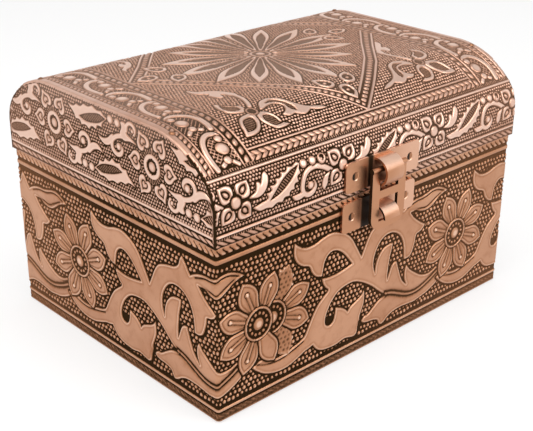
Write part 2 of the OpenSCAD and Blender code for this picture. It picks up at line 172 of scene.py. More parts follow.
soft_lamp("overhead_lamp", azimuth=20, elevation=78, distance=0.9, size=0.7, power=5.0)
soft_lamp("left_lamp", azimuth=95, elevation=35, distance=1.0, size=0.6, power=4.0)
soft_lamp("front_lamp", azimuth=-20, elevation=30, distance=1.1, size=0.6, power=4.0)


# ---- Felt under the base ----
# A sheet of black felt is glued under the base board, inside the folded edge of the copper,
# so that the box doesn't scratch a table. Its edge is cut with shears.
def effect_group(name, inputs, outputs):
    """An empty group for shaders, with sockets as {name: default} and {name: kind}: the group,
    what its nodes take in and what they put out."""
    group = bpy.data.node_groups.new(name, "ShaderNodeTree")
    for label, value in inputs.items():
        kind = "NodeSocketColor" if isinstance(value, tuple) else "NodeSocketFloat"
        socket = group.interface.new_socket(label, in_out="INPUT", socket_type=kind)
        socket.default_value = value
    for label, kind in outputs.items():
        group.interface.new_socket(label, in_out="OUTPUT", socket_type="NodeSocket" + kind)
    return (group, group.nodes.new("NodeGroupInput").outputs,
            group.nodes.new("NodeGroupOutput").inputs)


def place_effect(tree, group, **values):
    """The outputs of a group that is placed in a material with the material's own values."""
    node = tree.nodes.new("ShaderNodeGroup")
    node.node_tree = group
    return give(node, **values).outputs


def blend(tree, share, first, second, **settings):
    """The colour that goes from first to second as share goes from 0 to 1."""
    return put(tree, "Mix", data_type="RGBA", **settings, Factor=share, A=first,
               B=second).outputs["Result"]


def noise(tree, place, scale, detail, roughness, **values):
    """A noise from 0 to 1."""
    return put(tree, "TexNoise", Vector=place, Scale=scale, Detail=detail, Roughness=roughness,
               **values).outputs["Fac"]


def bumpy(tree, height, strength, distance):
    """The normal of a surface with fine bumps."""
    return put(tree, "Bump", Strength=strength, Distance=distance,
               Height=height).outputs["Normal"]


# short fibres that lie in soft patches, lighter where they lean towards the light
nap, nap_in, nap_out = effect_group(
    "nap", {"Pile": (0.3, 0.02, 0.05, 1), "Shadow": (0.1, 0.01, 0.02, 1), "Patch Scale": 60.0,
            "Fibre Scale": 2500.0},
    {"Color": "Color", "Height": "Float"})
nap_place = put(nap, "TexCoord").outputs["Object"]
nap_patches = noise(nap, nap_place, nap_in["Patch Scale"], 3.0, 0.6)
nap_fibres = noise(nap, nap_place, nap_in["Fibre Scale"], 2.0, 0.7)
nap_tone = blend(nap, ramp(nap, nap_patches, 0.35, 0.65), nap_in["Shadow"], nap_in["Pile"])
fill(nap_out["Color"], blend(nap, 0.35, nap_tone, nap_fibres, blend_type="OVERLAY"))
fill(nap_out["Height"], nap_fibres)


def pile_material(name, pile, shadow, patch_scale, fibre_scale, sheen, depth):
    """Felt or velvet."""
    material, tree, surface = new_material(name)
    fibres = place_effect(tree, nap, Pile=pile, Shadow=shadow, Patch_Scale=patch_scale,
                          Fibre_Scale=fibre_scale)
    give(surface, Base_Color=fibres["Color"], Normal=bumpy(tree, fibres["Height"], 0.6, depth),
         Roughness=0.9, Sheen_Weight=sheen, Sheen_Roughness=0.4, Sheen_Tint=pile,
         Specular_IOR_Level=0.2)
    return material


def box_mm(name):
    """The low and the high corner of a piece's CAD box, in millimetres."""
    return [np.array(corner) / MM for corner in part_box(name)]


def solid_grid(name, points, material, turn_row=None, relief=None):
    """A closed mesh from rows of points, an array of rows by columns by 3 in millimetres. Each
    column is a ring round the piece that turns back at turn_row, and the ends are zipped shut.
    relief fills an attribute of that name."""
    rows, columns = points.shape[:2]
    at = np.arange(rows * columns).reshape(rows, columns)
    after = np.roll(at, -1, axis=0)
    quads = np.stack([at[:, :-1], at[:, 1:], after[:, 1:], after[:, :-1]], -1).reshape(-1, 4)
    flat = points.reshape(-1, 3)
    a, b, c, d = (flat[quads[:, k]] for k in range(4))
    inside_out = (np.cross(a, b) * c).sum() + (np.cross(a, c) * d).sum() < 0
    turn_row = turn_row or rows // 2
    zips = []
    for column, reverse in ((0, False), (columns - 1, True)):
        go, back = list(at[:turn_row, column]), list(at[turn_row:, column][::-1])
        i = j = 0
        while i < len(go) - 1 or j < len(back) - 1:
            if (i + 1) * (len(back) - 1) <= (j + 1) * (len(go) - 1):
                corners = [go[i], go[i + 1], back[j]]
                i += 1
            else:
                corners = [go[i], back[j + 1], back[j]]
                j += 1
            zips.append(corners[::-1] if reverse else corners)
    zips = np.array(zips)
    if inside_out:
        quads, zips = quads[:, ::-1], zips[:, ::-1]
    sizes = np.array([4] * len(quads) + [3] * len(zips), np.int32)
    corners = np.concatenate([quads.ravel(), zips.ravel()]).astype(np.int32)
    mesh = bpy.data.meshes.new(name)
    mesh.vertices.add(len(flat))
    mesh.vertices.foreach_set("co", (flat * MM).ravel())
    mesh.loops.add(len(corners))
    mesh.loops.foreach_set("vertex_index", corners)
    mesh.polygons.add(len(sizes))
    mesh.polygons.foreach_set("loop_start", np.concatenate([[0], np.cumsum(sizes)[:-1]]))
    mesh.update(calc_edges=True)
    mesh.polygons.foreach_set("use_smooth", np.ones(len(sizes), bool))
    # the unrolled grid, with the zipped ends in narrow strips of their own above it
    row_of, column_of = np.divmod(np.arange(rows * columns), columns)
    places = np.stack([column_of / (columns - 1), row_of * 0.97 / rows], -1)
    quad_uv = places[quads].copy()
    last = (row_of[quads].max(1) == rows - 1) & (row_of[quads].min(1) == 0)
    quad_uv[..., 1] = np.where(last[:, None] & (row_of[quads] == 0), 0.97, quad_uv[..., 1])
    zip_level = 0.975 + 0.012 * (column_of[zips] > 0) + 0.008 * (row_of[zips] >= turn_row)
    zip_uv = np.stack([row_of[zips] / rows, zip_level], -1)
    layer = mesh.uv_layers.new(name="OFBake")
    layer.uv.foreach_set("vector", np.concatenate([quad_uv.reshape(-1, 2), zip_uv.reshape(-1, 2)])
                         .astype(np.float32).ravel())
    if relief is not None:
        layer = mesh.attributes.new("relief", "FLOAT", "POINT")
        layer.data.foreach_set("value", relief.ravel().astype(np.float32))
    mesh.materials.append(material)
    piece = bpy.data.objects.new(name, mesh)
    scene.collection.objects.link(piece)
    return piece


def slab(name, width, length, level, thickness, material, crown, round_r, steps=48):
    """A flat pad lying in the (x, y) plane with rounded edges and a crowned upper side."""
    along = np.linspace(-1, 1, steps * 2 + 1)
    across = np.linspace(-1, 1, steps + 1)
    half_w, half_l = width / 2, length / 2
    edge = np.minimum((1 - np.abs(across)) * half_l / round_r, 1)
    top = [(v * half_l, round_r * math.sqrt(1 - (1 - e) ** 2)) for v, e in zip(across, edge)]
    points = np.zeros((len(top) + 2, len(along), 3))
    side = np.minimum((1 - np.abs(along)) * half_w / round_r, 1)
    lift = np.sqrt(1 - (1 - side) ** 2)
    for row, (y, rise) in enumerate(top):
        swell = crown * (1 - (y / half_l) ** 2) * (1 - along ** 4)
        height = level + thickness - round_r - crown
        points[row] = np.stack([along * half_w, np.full_like(along, y),
                                height + np.minimum(rise, round_r * lift) + swell], -1)
    for row, y in enumerate((half_l, -half_l)):
        points[len(top) + row] = np.stack([along * half_w, np.full_like(along, y),
                                           np.full_like(along, level)], -1)
    return solid_grid(name, points, material)


felt_black = pile_material("black_felt", pile=(0.035, 0.033, 0.033, 1),
                           shadow=(0.012, 0.011, 0.011, 1), patch_scale=90.0,
                           fibre_scale=1800.0, sheen=0.15, depth=0.0002)
felt_low, felt_high = box_mm("base_felt")
felt_w, felt_l = (felt_high - felt_low)[:2]
felt_t = 0.6
felt = slab("base_felt_sheet", felt_w, felt_l, 0, felt_t, felt_black, crown=0.0, round_r=0.25)
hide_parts("base_felt")
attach(felt, "box")

# ---- Base board and walls ----
# The carcass is thin fibreboard, glued and pinned at its corners. It only shows in the
# recesses of the hinges. The lid's end boards, rails and curved top are of the same board.
grain, grain_in, grain_out = effect_group(
    "wood_grain", {"Light": (0.5, 0.3, 0.15, 1), "Dark": (0.25, 0.13, 0.06, 1), "Scale": 40.0},
    {"Color": "Color", "Height": "Float"})
grain_place = put(grain, "Mapping", Vector=put(grain, "TexCoord").outputs["Object"],
                  Scale=(0.12, 1.0, 1.0)).outputs["Vector"]
grain_streaks = noise(grain, grain_place, grain_in["Scale"], 6.0, 0.65, Distortion=0.6)
fill(grain_out["Color"], blend(grain, grain_streaks, grain_in["Light"], grain_in["Dark"]))
fill(grain_out["Height"], grain_streaks)

board_wood, board_tree, board_surface = new_material("board_wood")
board_grain = place_effect(board_tree, grain, Scale=320.0, Light=(0.48, 0.29, 0.15, 1),
                           Dark=(0.24, 0.125, 0.06, 1))
give(board_surface, Base_Color=board_grain["Color"], Roughness=0.65,
     Normal=bumpy(board_tree, board_grain["Height"], 0.4, 0.0002))


def dress(material, *names, bevel=0.0):
    """Gives CAD pieces their finish and, where bevel is set, eased edges of that width."""
    for name in names:
        piece = nodes[name]
        piece.data.materials.clear()
        piece.data.materials.append(material)
        if bevel:
            ease = piece.modifiers.new("eased_edges", "BEVEL")
            ease.width = bevel * MM
            ease.segments = 3
            ease.limit_method = "ANGLE"
            ease.angle_limit = math.radians(35)
            ease.harden_normals = True


dress(board_wood, "base_board", "front_wall", "back_wall", "left_wall", "right_wall")
dress(board_wood, "lid_left_end", "lid_right_end", "lid_front_rail", "lid_back_rail",
      "lid_top_board")


# ---- Body sheet ----
# A strip of thin copper, embossed in a press with a vine on a ground of beads, goes round the
# walls and is folded over the rim and under the base; its ends meet behind. It was blackened
# and then rubbed, so that the ground stayed black.
def smooth(x):
    """A rise from 0 to 1 as x does, level at both ends."""
    x = np.clip(x, 0, 1)
    return x * x * (3 - 2 * x)


def drawn(points, closed=True, step=0.45):
    """A smooth line through listed points; a point with a third value is a sharp corner."""
    spots = [np.array(point[:2], float) for point in points]
    sharp = [len(point) > 2 for point in points]
    count = len(spots)
    line = []
    for i in range(count if closed else count - 1):
        j = (i + 1) % count
        a, b = spots[i], spots[j]
        length = np.linalg.norm(b - a)
        ways = []
        for k, (before, after) in ((i, (spots[i - 1], b)), (j, (a, spots[(j + 1) % count]))):
            loose = not closed and k in (0, count - 1)
            way = b - a if sharp[k] or loose else after - before
            ways.append(way / max(np.linalg.norm(way), 1e-9) * length)
        for t in np.arange(0, 1, step / max(length, step)):
            line.append(a * (2 * t ** 3 - 3 * t ** 2 + 1) + ways[0] * (t ** 3 - 2 * t ** 2 + t)
                        + b * (3 * t ** 2 - 2 * t ** 3) + ways[1] * (t ** 3 - t ** 2))
    if not closed:
        line.append(spots[-1])
    return np.array(line)


def placed(points, at=(0, 0), turn=0.0, size=1.0, flip=False):
    """A drawing set down at a place: mirrored left to right first, then scaled and turned."""
    line = np.array(points, float) * (size * (-1 if flip else 1), size)
    c, s = math.cos(math.radians(turn)), math.sin(math.radians(turn))
    return line @ np.array([[c, s], [-s, c]]) + at


def distance_to(line, u, v, closed):
    """Distance of the places (u, v) to a line and, where it is closed, which lie inside."""
    best = np.full(u.shape, 1e9)
    inside = np.zeros(u.shape, bool)
    ends = np.roll(line, -1, axis=0) if closed else line[1:]
    for (x0, y0), (x1, y1) in zip(line, ends):
        ex, ey = x1 - x0, y1 - y0
        along = np.clip(((u - x0) * ex + (v - y0) * ey) / max(ex * ex + ey * ey, 1e-12), 0, 1)
        best = np.minimum(best, (u - x0 - along * ex) ** 2 + (v - y0 - along * ey) ** 2)
        if closed and y0 != y1:
            inside ^= ((y0 > v) != (y1 > v)) & (u < ex * (v - y0) / ey + x0)
    return np.sqrt(best), inside


class Embossing:
    """The height of a sheet's relief at places u and v in mm, 0 in the ground and 1 on the rims,
    with plateau for the level of broad forms and groove for a line that runs inside their edge."""

    def __init__(self, u, v, plateau=0.96, groove=0.0):
        self.shape = u.shape
        self.plateau, self.groove = plateau, groove
        self.u, self.v = u.ravel(), v.ravel()
        self.h = np.zeros(u.size)

    def near(self, lines, margin):
        """The places in the frame of some lines, widened by a margin."""
        low = np.min([line.min(0) for line in lines], axis=0) - margin
        high = np.max([line.max(0) for line in lines], axis=0) + margin
        return np.flatnonzero((self.u > low[0]) & (self.u < high[0])
                              & (self.v > low[1]) & (self.v < high[1]))

    def stamp(self, lines, bands=(), holes=(), top=1.0, moat=0.7, groove=None):
        """Raises what the closed lines hold, and bands of a width along open lines, as one form
        with a rim, a groove inside that, and a black channel round it."""
        spots = self.near(list(lines) + [line for line, width in bands], moat + 1.6)
        if not len(spots):
            return
        u, v = self.u[spots], self.v[spots]
        depth = np.full(u.shape, -1e9)
        for line in lines:
            away, inside = distance_to(line, u, v, True)
            depth = np.maximum(depth, np.where(inside, away, -away))
        for line, width in bands:
            depth = np.maximum(depth, width / 2 - distance_to(line, u, v, False)[0])
        for line in holes:
            away, inside = distance_to(line, u, v, True)
            depth = np.minimum(depth, np.where(inside, -away, away))
        below = self.h[spots] * np.where(depth < -0.25, smooth((-depth - 0.25) / moat), 0)
        rim = (1 - self.plateau) * np.exp(-((depth - 0.35) / 0.3) ** 2)
        cut = self.groove if groove is None else groove
        body = self.plateau + rim - cut * np.exp(-((depth - 1.05) / 0.3) ** 2)
        share = smooth(depth / 0.55 + 0.5)
        self.h[spots] = below * (1 - share) + top * body * share

    def stroke(self, points, width, amount, closed=False):
        """Raises a line of that width by amount, or engraves it where amount is below 0."""
        line = np.asarray(points)
        spots = self.near([line], 2 * width)
        if len(spots):
            away, _ = distance_to(line, self.u[spots], self.v[spots], closed)
            self.h[spots] += amount * np.exp(-(2 * away / width) ** 2 * 0.8)

    def disc(self, at, radius, top=1.0, flat=0.4, moat=0.5):
        """A round boss in a black channel; flat is the share of its radius that is level."""
        spots = self.near([np.array([at])], radius + moat + 0.5)
        away = np.hypot(self.u[spots] - at[0], self.v[spots] - at[1])
        self.h[spots] *= smooth((away - radius) / max(moat, 1e-6))
        dome = np.sqrt(np.clip(1 - (np.clip(away / radius - flat, 0, 1) / (1 - flat)) ** 2, 0, 1))
        self.h[spots] = np.maximum(self.h[spots], top * dome * (away < radius))

    def beads(self, low, high, pitch, row, radius, wobble=0.1, where=True):
        """A ground of round beads in staggered rows between two heights, a little uneven as a
        worn roller's are."""
        j = np.round(self.v / row)
        kept = (j * row > low + radius) & (j * row < high - radius) & where
        spots = np.flatnonzero(kept)
        u, v, j = self.u[spots], self.v[spots], j[spots]
        shift = 0.5 * pitch * (j % 2)
        i = np.round((u - shift) / pitch)
        off_u = u - shift - i * pitch + wobble * np.sin(12.9 * i + 78.2 * j)
        off_v = v - j * row + wobble * np.sin(39.3 * i + 11.1 * j)
        size = radius * (1 + wobble * np.sin(5.3 * i + 27.7 * j))
        dome = np.sqrt(np.clip(1 - (off_u ** 2 + off_v ** 2) / size ** 2, 0, 1))
        self.h[spots] = np.maximum(self.h[spots], dome)

    def band(self, across, low, high, level):
        """Sets a band between two distances to one level."""
        self.h[(across > low) & (across < high)] = level

    def ridge(self, across, centre, width, top=1.0, where=True):
        """A plain raised line."""
        away = np.abs(across - centre)
        spots = np.flatnonzero((away < width) & where)
        rise = smooth((width / 2 - away[spots]) / 0.5 + 0.5)
        self.h[spots] = np.maximum(self.h[spots], top * rise)

    def rope(self, along, across, centre, width, pitch, slant, top=0.95, cut=0.5, where=True):
        """A row of slanting strands; a low cut leaves them close together."""
        t = (across - centre) / (width / 2)
        spots = np.flatnonzero((np.abs(t) < 1) & where)
        t = t[spots]
        phase = along[spots] / pitch + slant * t * 0.5
        strand = np.abs(np.sin(math.pi * phase)) ** cut
        self.h[spots] = np.maximum(self.h[spots], top * strand * np.sqrt(1 - t ** 2) ** 0.7)

    def hatch(self, along, across, low, high, pitch, top=0.7):
        """Fine bars across a narrow band."""
        spots = np.flatnonzero((across > low) & (across < high))
        self.h[spots] = top * (0.5 + 0.5 * np.sin(2 * math.pi * along[spots] / pitch))

    def heights(self):
        """The relief in the shape of the places."""
        return np.clip(self.h, 0, 1).reshape(self.shape)


petal = drawn([(5.0, -1.7), (8.5, -3.3), (12, -4.1), (15.4, -2.9), (18.3, 0, 1), (15.4, 2.9),
               (12, 4.1), (8.5, 3.3), (5.0, 1.7)])
flower_turns = [22.5 + 45 * k for k in range(8)]


def emboss_petals(sheet, at, turns, veined=True):
    """Petals of the body's flower, each with a vein that ends in a dot."""
    for turn in turns:
        sheet.stamp([placed(petal, at, turn)], groove=0.42)
        if veined:
            vein = placed([(6.4, 0), (13.2, 0)], at, turn)
            sheet.stroke(vein, 1.9, -0.85)
            sheet.disc(vein[1], 0.85, moat=0.35)
            sheet.stroke(vein, 0.8, 0.95)


def emboss_ghost(sheet, at, turn):
    """A petal of the flower that was struck twice, with the beads still showing through it."""
    line = placed(petal, at, turn)
    spots = sheet.near([line], 0.5)
    away, inside = distance_to(line, sheet.u[spots], sheet.v[spots], True)
    share = smooth(np.where(inside, away, -away) / 0.6 + 0.5)
    sheet.h[spots] += share * (0.72 - 1.3 * sheet.h[spots])
    sheet.stroke(line, 1.0, 0.35, closed=True)


def emboss_centre(sheet, at):
    """The ring, the small beads and the boss in the middle of that flower."""
    sheet.disc(at, 6.1, top=0.98, flat=0.9, moat=0.45)
    sheet.disc(at, 5.15, top=0.0, moat=0.2)
    small_beads = 13
    for k in range(small_beads):
        bead = placed([(3.75, 0)], at, 360 * k / small_beads)[0]
        sheet.disc(bead, 0.68, top=0.9, flat=0.0, moat=0.0)
    sheet.disc(at, 2.35, top=0.97, flat=0.3, moat=0.2)


# the vine from one flower to the next; 0 is the first flower's middle
spiked_leaf = drawn([
    (9.5, 54, 1), (12, 52), (15, 50.7), (19, 50.7), (23, 51.8), (27, 52.3), (31, 51.3),
    (34, 49.8), (37, 47), (39.5, 43), (42.3, 38.2, 1), (44, 34), (40, 32), (37.5, 37.2, 1),
    (36, 39), (34, 41.5), (31.5, 43.8), (28.5, 45.2), (26, 45), (24, 43), (23.2, 40),
    (22.7, 37.4, 1), (20, 38.4), (18, 40.5), (16.5, 43.3), (13, 44.8), (10.5, 47), (9.3, 50)])
main_stem = drawn([
    (-9.2, 14.3, 1), (-5, 15.8), (-1, 14), (3, 13.6), (7, 14.2), (10, 15), (13, 15.8), (15, 17),
    (16.5, 19.5), (18.5, 23), (21, 26.5), (24, 29), (26, 30.8), (24.8, 32.2), (23.6, 34),
    (22.8, 36.4, 1), (26, 35.8), (30, 35.7), (34, 36.2), (38, 37), (42.3, 38, 1), (43.8, 41),
    (45.4, 44.2), (47.4, 46.8), (50, 48), (53, 48.8), (56, 49.5), (58, 51), (59, 53.5),
    (59.8, 55, 1), (61.5, 53), (63, 50.8), (64, 49.4, 1), (65.5, 50.3), (68, 51.3), (71, 51.8),
    (74, 51.9), (77, 52.5), (80, 53.2), (83, 53.2), (86, 52.1), (89, 50.3, 1), (87, 50),
    (84, 48.9), (81.5, 47.3), (79, 46), (76.5, 45.7), (74, 46.1), (71.5, 47), (68, 47.4, 1),
    (70, 45), (72.3, 43), (74.6, 41.3), (76.8, 40, 1), (75.3, 38.5), (73.6, 37.7), (72, 37.3),
    (71.6, 35.2), (70.8, 32.4), (69.6, 30), (67.8, 29), (65.8, 29, 1), (65.6, 31.2),
    (65.3, 34.2), (64.4, 37.4), (62.4, 40.4), (59.3, 42.3), (56, 42.7), (53, 41.6), (50.6, 39),
    (49.1, 35.5), (49, 32), (50, 28.8, 1), (50.3, 32), (51.5, 35), (54, 37.5), (57.3, 38.4),
    (59, 38.3, 1), (58.6, 36), (57.9, 33.5), (57.4, 30.5), (57, 27.2), (56.9, 23.6, 1),
    (57.9, 26), (59, 28.5), (60.4, 29.6), (61.8, 29.6, 1), (62.4, 27.7), (63.4, 25), (64.6, 22),
    (65.9, 20), (68, 18, 1), (66.9, 20.5), (66.7, 23), (67, 25), (67.6, 26, 1), (69.4, 23.8),
    (72.3, 21.6), (75.2, 19.7), (77.2, 18.8), (80, 18.2), (83, 18.5), (85.5, 19.6, 1),
    (88.5, 17), (88.5, 14.5, 1), (87, 13), (84, 11.3), (80, 9.8), (77, 9.3), (73, 8.8),
    (69, 9.2), (65, 9.5), (61, 9.2), (58, 8), (56, 6.6), (54.5, 6.1, 1), (53.5, 7),
    (52.6, 8.7), (50, 9.6), (47, 9.9), (44.6, 10.6), (43.5, 12.2, 1), (42, 10.2), (41.4, 7.6),
    (40, 6.7), (38, 7), (35, 7.7), (31, 7.1), (27, 7.3), (23.5, 8), (21, 9.5), (19, 12, 1),
    (17, 11.4), (15, 11), (12, 9.8), (8, 8.4), (4, 8), (0, 8.5), (-4, 10), (-7, 12.2)])
arch_window = drawn([
    (25.2, 17.4), (24.9, 20), (26, 23), (28, 26), (31, 28.5), (35, 29.6), (39, 29.6), (43, 28),
    (46, 26.2), (49, 24), (52, 21.3), (56.5, 17.6, 1), (53, 16.8), (50, 15), (47, 13),
    (45.5, 12.9), (43.4, 11.4, 1), (42.6, 13.6), (43.6, 16.4), (44.6, 19), (44.8, 22),
    (44.6, 24.4, 1), (43, 22.5), (40, 21), (37.5, 19.8), (36.3, 18.4, 1), (35.5, 19.5),
    (33.5, 21), (30, 22.5, 1), (29.8, 20), (29, 17.5), (27.3, 16.4)])
vine_seam = drawn([(56.5, 18.2), (60, 17.3), (64, 15.6), (68, 13.9), (72, 13), (76, 13.2),
                   (80, 14.4), (83, 15.6), (86.5, 17.4)], closed=False)
vine_gap = drawn([(43.6, 12.8), (42.7, 11), (42.6, 8.2)], closed=False)
vine_lines = [drawn(points, closed=False) for points in (
    [(66.5, 49.4), (71, 50.7), (76, 51), (80, 52.1), (83, 52), (86.5, 50.9)],
    [(70, 47.4), (74, 47.2), (77, 46.9), (81, 48.6), (84.5, 50)],
    [(13, 51.6), (19, 51.7), (25, 52.8)],
    [(-8, 15.2), (-4.5, 13.6), (-1, 12.6), (4, 12.3), (10, 13.6), (14.5, 15)])]

strip_turn = 95.0  # from one flower to the next
flower_z = 30.3
front_flower = -57.0
restrike = 6.3  # the press slipped here and struck the front's left flower twice
flower_slip = 0.6  # of the flowers after it, past their vine


def emboss_chunky_rope(sheet, low, high, pitch):
    """The strands under the body's rim: round at their lower ends, and grown into the rim."""
    spots = np.flatnonzero((sheet.v > low - 0.3) & (sheet.v < high))
    t = (sheet.v[spots] - low) / (high - low)
    strand = sheet.u[spots] / pitch + 0.62 * t - 0.12 * np.sin(2 * math.pi * t)
    across = np.abs(strand - np.round(strand))
    foot = (1 - np.sqrt(np.clip(1 - (2 * across) ** 2, 0, 1))) * 0.3
    slit = (0.5 - across) * pitch - 0.4 * (0.9 - t)
    rise = smooth((t - foot) / 0.14) * np.maximum(smooth(slit / 0.35), smooth((t - 0.8) / 0.15))
    sheet.h[spots] = (0.97 - 0.12 * t) * rise


def body_relief(p, v):
    """Relief of the body's strip: p runs along the front, round the corners and on to the back,
    with 0 in the middle of the front, and v is the height above the bottom edge."""
    sheet = Embossing(p, v + 0.22 * np.sin(p / 7.1) * np.sin(v / 5.3), plateau=0.87, groove=0.2)
    sheet.beads(low=4.9, high=57.0, pitch=1.95, row=1.72, radius=0.74, wobble=0.17)
    for flowers in (-3, -2, -1, 0, 1, 2):
        # past the front's left flower, everything lies further on by the slip of the press
        slip = restrike if flowers >= 0 else 0.0
        at = (front_flower + strip_turn * flowers + slip, 0)
        sheet.stamp([placed(spiked_leaf, at), placed(main_stem, at)],
                    holes=[placed(arch_window, at)])
        sheet.stroke(placed(vine_gap, at), 1.2, -1.0)
        sheet.disc(placed([(27.2, 18.4)], at)[0], 1.7, top=0.0, moat=0.1)
        sheet.stroke(placed(vine_seam, at), 2.5, -0.95)
        sheet.stroke(placed(vine_seam, at), 0.8, 0.95)
        for line in vine_lines:
            sheet.stroke(placed(line, at), 0.75, -0.5)
    for flowers in (-3, -2, -1, 1, 2):
        slip = restrike + flower_slip if flowers > 0 else 0.0
        at = (front_flower + strip_turn * flowers + slip, flower_z)
        emboss_petals(sheet, at, flower_turns)
        emboss_centre(sheet, at)
    second = (front_flower + restrike, flower_z)
    first = (front_flower, flower_z)
    for turn in (67.5, 292.5):
        emboss_ghost(sheet, second, turn)
    emboss_petals(sheet, second, [22.5, 337.5])
    emboss_centre(sheet, second)
    emboss_petals(sheet, first, [67.5, 112.5, 157.5, 202.5, 247.5])
    emboss_petals(sheet, first, [292.5], veined=False)
    emboss_centre(sheet, first)
    sheet.v = v.ravel()
    v = sheet.v
    for low, high, level in ((-1, 3.0, 0.4), (3.0, 5.0, 0.0), (56.9, 60.3, 0.0), (62.8, 64, 0.95)):
        sheet.band(v, low, high, level)
    sheet.rope(sheet.u, v, centre=1.9, width=2.0, pitch=2.5, slant=1.6, top=0.56, cut=0.8)
    sheet.ridge(v, centre=4.1, width=1.1, top=0.93)
    sheet.ridge(v, centre=58.1, width=1.55, top=0.88)
    emboss_chunky_rope(sheet, low=60.0, high=62.8, pitch=2.75)
    return sheet.heights()


body_low, body_high = box_mm("body_sheet")
body_half_x, body_half_y, body_top = body_high
body_bottom = body_low[2]
corner_r = 1.5
cover_t = 0.8  # from the outer face to the boards
rim_fold = 5.8
base_fold = 8.0
fold_t = 0.4
body_depth = 0.62  # of the relief


def wall_path(p):
    """Place, outward direction and distance to the nearest corner at p along the strip."""
    sides = [((-body_half_x, -body_half_y), (1, 0), 2 * body_half_x),
             ((body_half_x, -body_half_y), (0, 1), 2 * body_half_y),
             ((body_half_x, body_half_y), (-1, 0), 2 * body_half_x),
             ((-body_half_x, body_half_y), (0, -1), 2 * body_half_y)]
    q = (p + body_half_x) % (4 * (body_half_x + body_half_y))
    place, out, corner = np.zeros((len(p), 2)), np.zeros((len(p), 2)), np.zeros(len(p))
    begun = 0.0
    for start, way, length in sides:
        here = (q >= begun) & (q < begun + length)
        t = (q[here] - begun)[:, None]
        way = np.array(way, float)
        normal = np.array([way[1], -way[0]])
        nearest = np.minimum(t, length - t)
        lean = math.pi / 4 * np.clip(1 - nearest / corner_r, 0, 1) * np.where(t < length / 2, -1, 1)
        direction = normal * np.cos(lean) + way * np.sin(lean)
        centre = np.array(start) - normal * corner_r + way * np.clip(t, corner_r, length - corner_r)
        place[here] = centre + direction * corner_r
        out[here] = direction
        corner[here] = nearest[:, 0]
        begun += length
    return place, out, corner


hinge_box = box_mm("left_hinge_pin")
notch_room = 0.35
hinge_far, hinge_near = notch_room - hinge_box[0][0], -notch_room - hinge_box[1][0]
pin_centre_z = (hinge_box[0][2] + hinge_box[1][2]) / 2
notch_r = 1.85
hair = 0.004


def with_edges(values, edges):
    """The values, with each edge put in twice, a hair apart, so that a step stays sharp."""
    extra = [edge + side * hair for edge in edges for side in (-1, 1)]
    return np.unique(np.concatenate([values, extra]))


def in_notch(x):
    """Whether x lies in the notches that the sheets have round the hinges."""
    return (np.abs(x) > hinge_near) & (np.abs(x) < hinge_far)


strip_length = 4 * (body_half_x + body_half_y)
seam_off = 52.0  # from the middle of the back, towards the right wall
seam_gap = 0.3
seam_p = strip_length / 2 - seam_off
left_back_p = -body_half_x - 2 * body_half_y
fine_step, coarse_step = 0.32, 0.45
strip_p = np.concatenate([np.arange(seam_p - strip_length, left_back_p, coarse_step),
                          np.arange(left_back_p, body_half_x, fine_step),
                          np.arange(body_half_x, seam_p - seam_gap, coarse_step)])
notch_p = [side * edge - strip_length / 2
           for side in (-1, 1) for edge in (hinge_near, hinge_far)]
strip_p = with_edges(strip_p, [p for p in notch_p if p > strip_p[0]])
strip_at, strip_out, strip_corner = wall_path(strip_p)
behind = strip_out[:, 1] > 0.99
notched = behind & in_notch(strip_at[:, 0])
tops = np.where(notched, pin_centre_z - notch_r - body_bottom, body_top - body_bottom)
rim_reach = np.where(notched, cover_t + 0.1, np.clip(strip_corner, fold_t, rim_fold))
base_reach = np.clip(strip_corner, fold_t, base_fold)

edge_r = 0.5
edge_in = 0.15  # how far the middle of the eased edge lies in
wall_v = np.linspace(0, 1, 190)
v_grid = edge_r + wall_v[:, None] * (tops[None, :] - 2 * edge_r)
p_grid = np.broadcast_to(strip_p[None, :], v_grid.shape)
strip_h = body_relief(p_grid, v_grid)


def ring_rows(rows):
    """Rows of (depth below the outer face, height) as one array."""
    return np.stack([np.stack(np.broadcast_arrays(*row), -1) for row in rows])


one = np.ones(len(strip_p))
under = ring_rows([(base_reach, 0 * one), (base_reach * 0.5 + 0.3, 0 * one),
                   (edge_r * one, 0 * one), (edge_in * one, edge_in * one)])
# the relief is lower at the corners of the box
corner_ease = 1 - 0.45 * np.clip(1 - strip_corner / 1.8, 0, 1)
face = np.stack([body_depth * (1 - strip_h) * corner_ease, v_grid], -1)
over = ring_rows([(edge_in * one, tops - edge_in), (edge_r * one, tops),
                  (rim_reach * 0.6 + 0.2, tops),
                  (rim_reach, tops), (rim_reach, tops - fold_t), (cover_t * one, tops - fold_t),
                  (cover_t * one, tops / 2), (cover_t * one, fold_t * one),
                  (base_reach, fold_t * one)])
section = np.concatenate([under, face, over])
body_points = np.zeros(section.shape[:2] + (3,))
body_points[..., :2] = strip_at[None] - strip_out[None] * section[..., :1]
body_points[..., 2] = body_bottom + section[..., 1]
fold_mark = 0.9
body_marks = np.concatenate([np.full(under.shape[:2], fold_mark), strip_h,
                             np.full(over.shape[:2], fold_mark)])
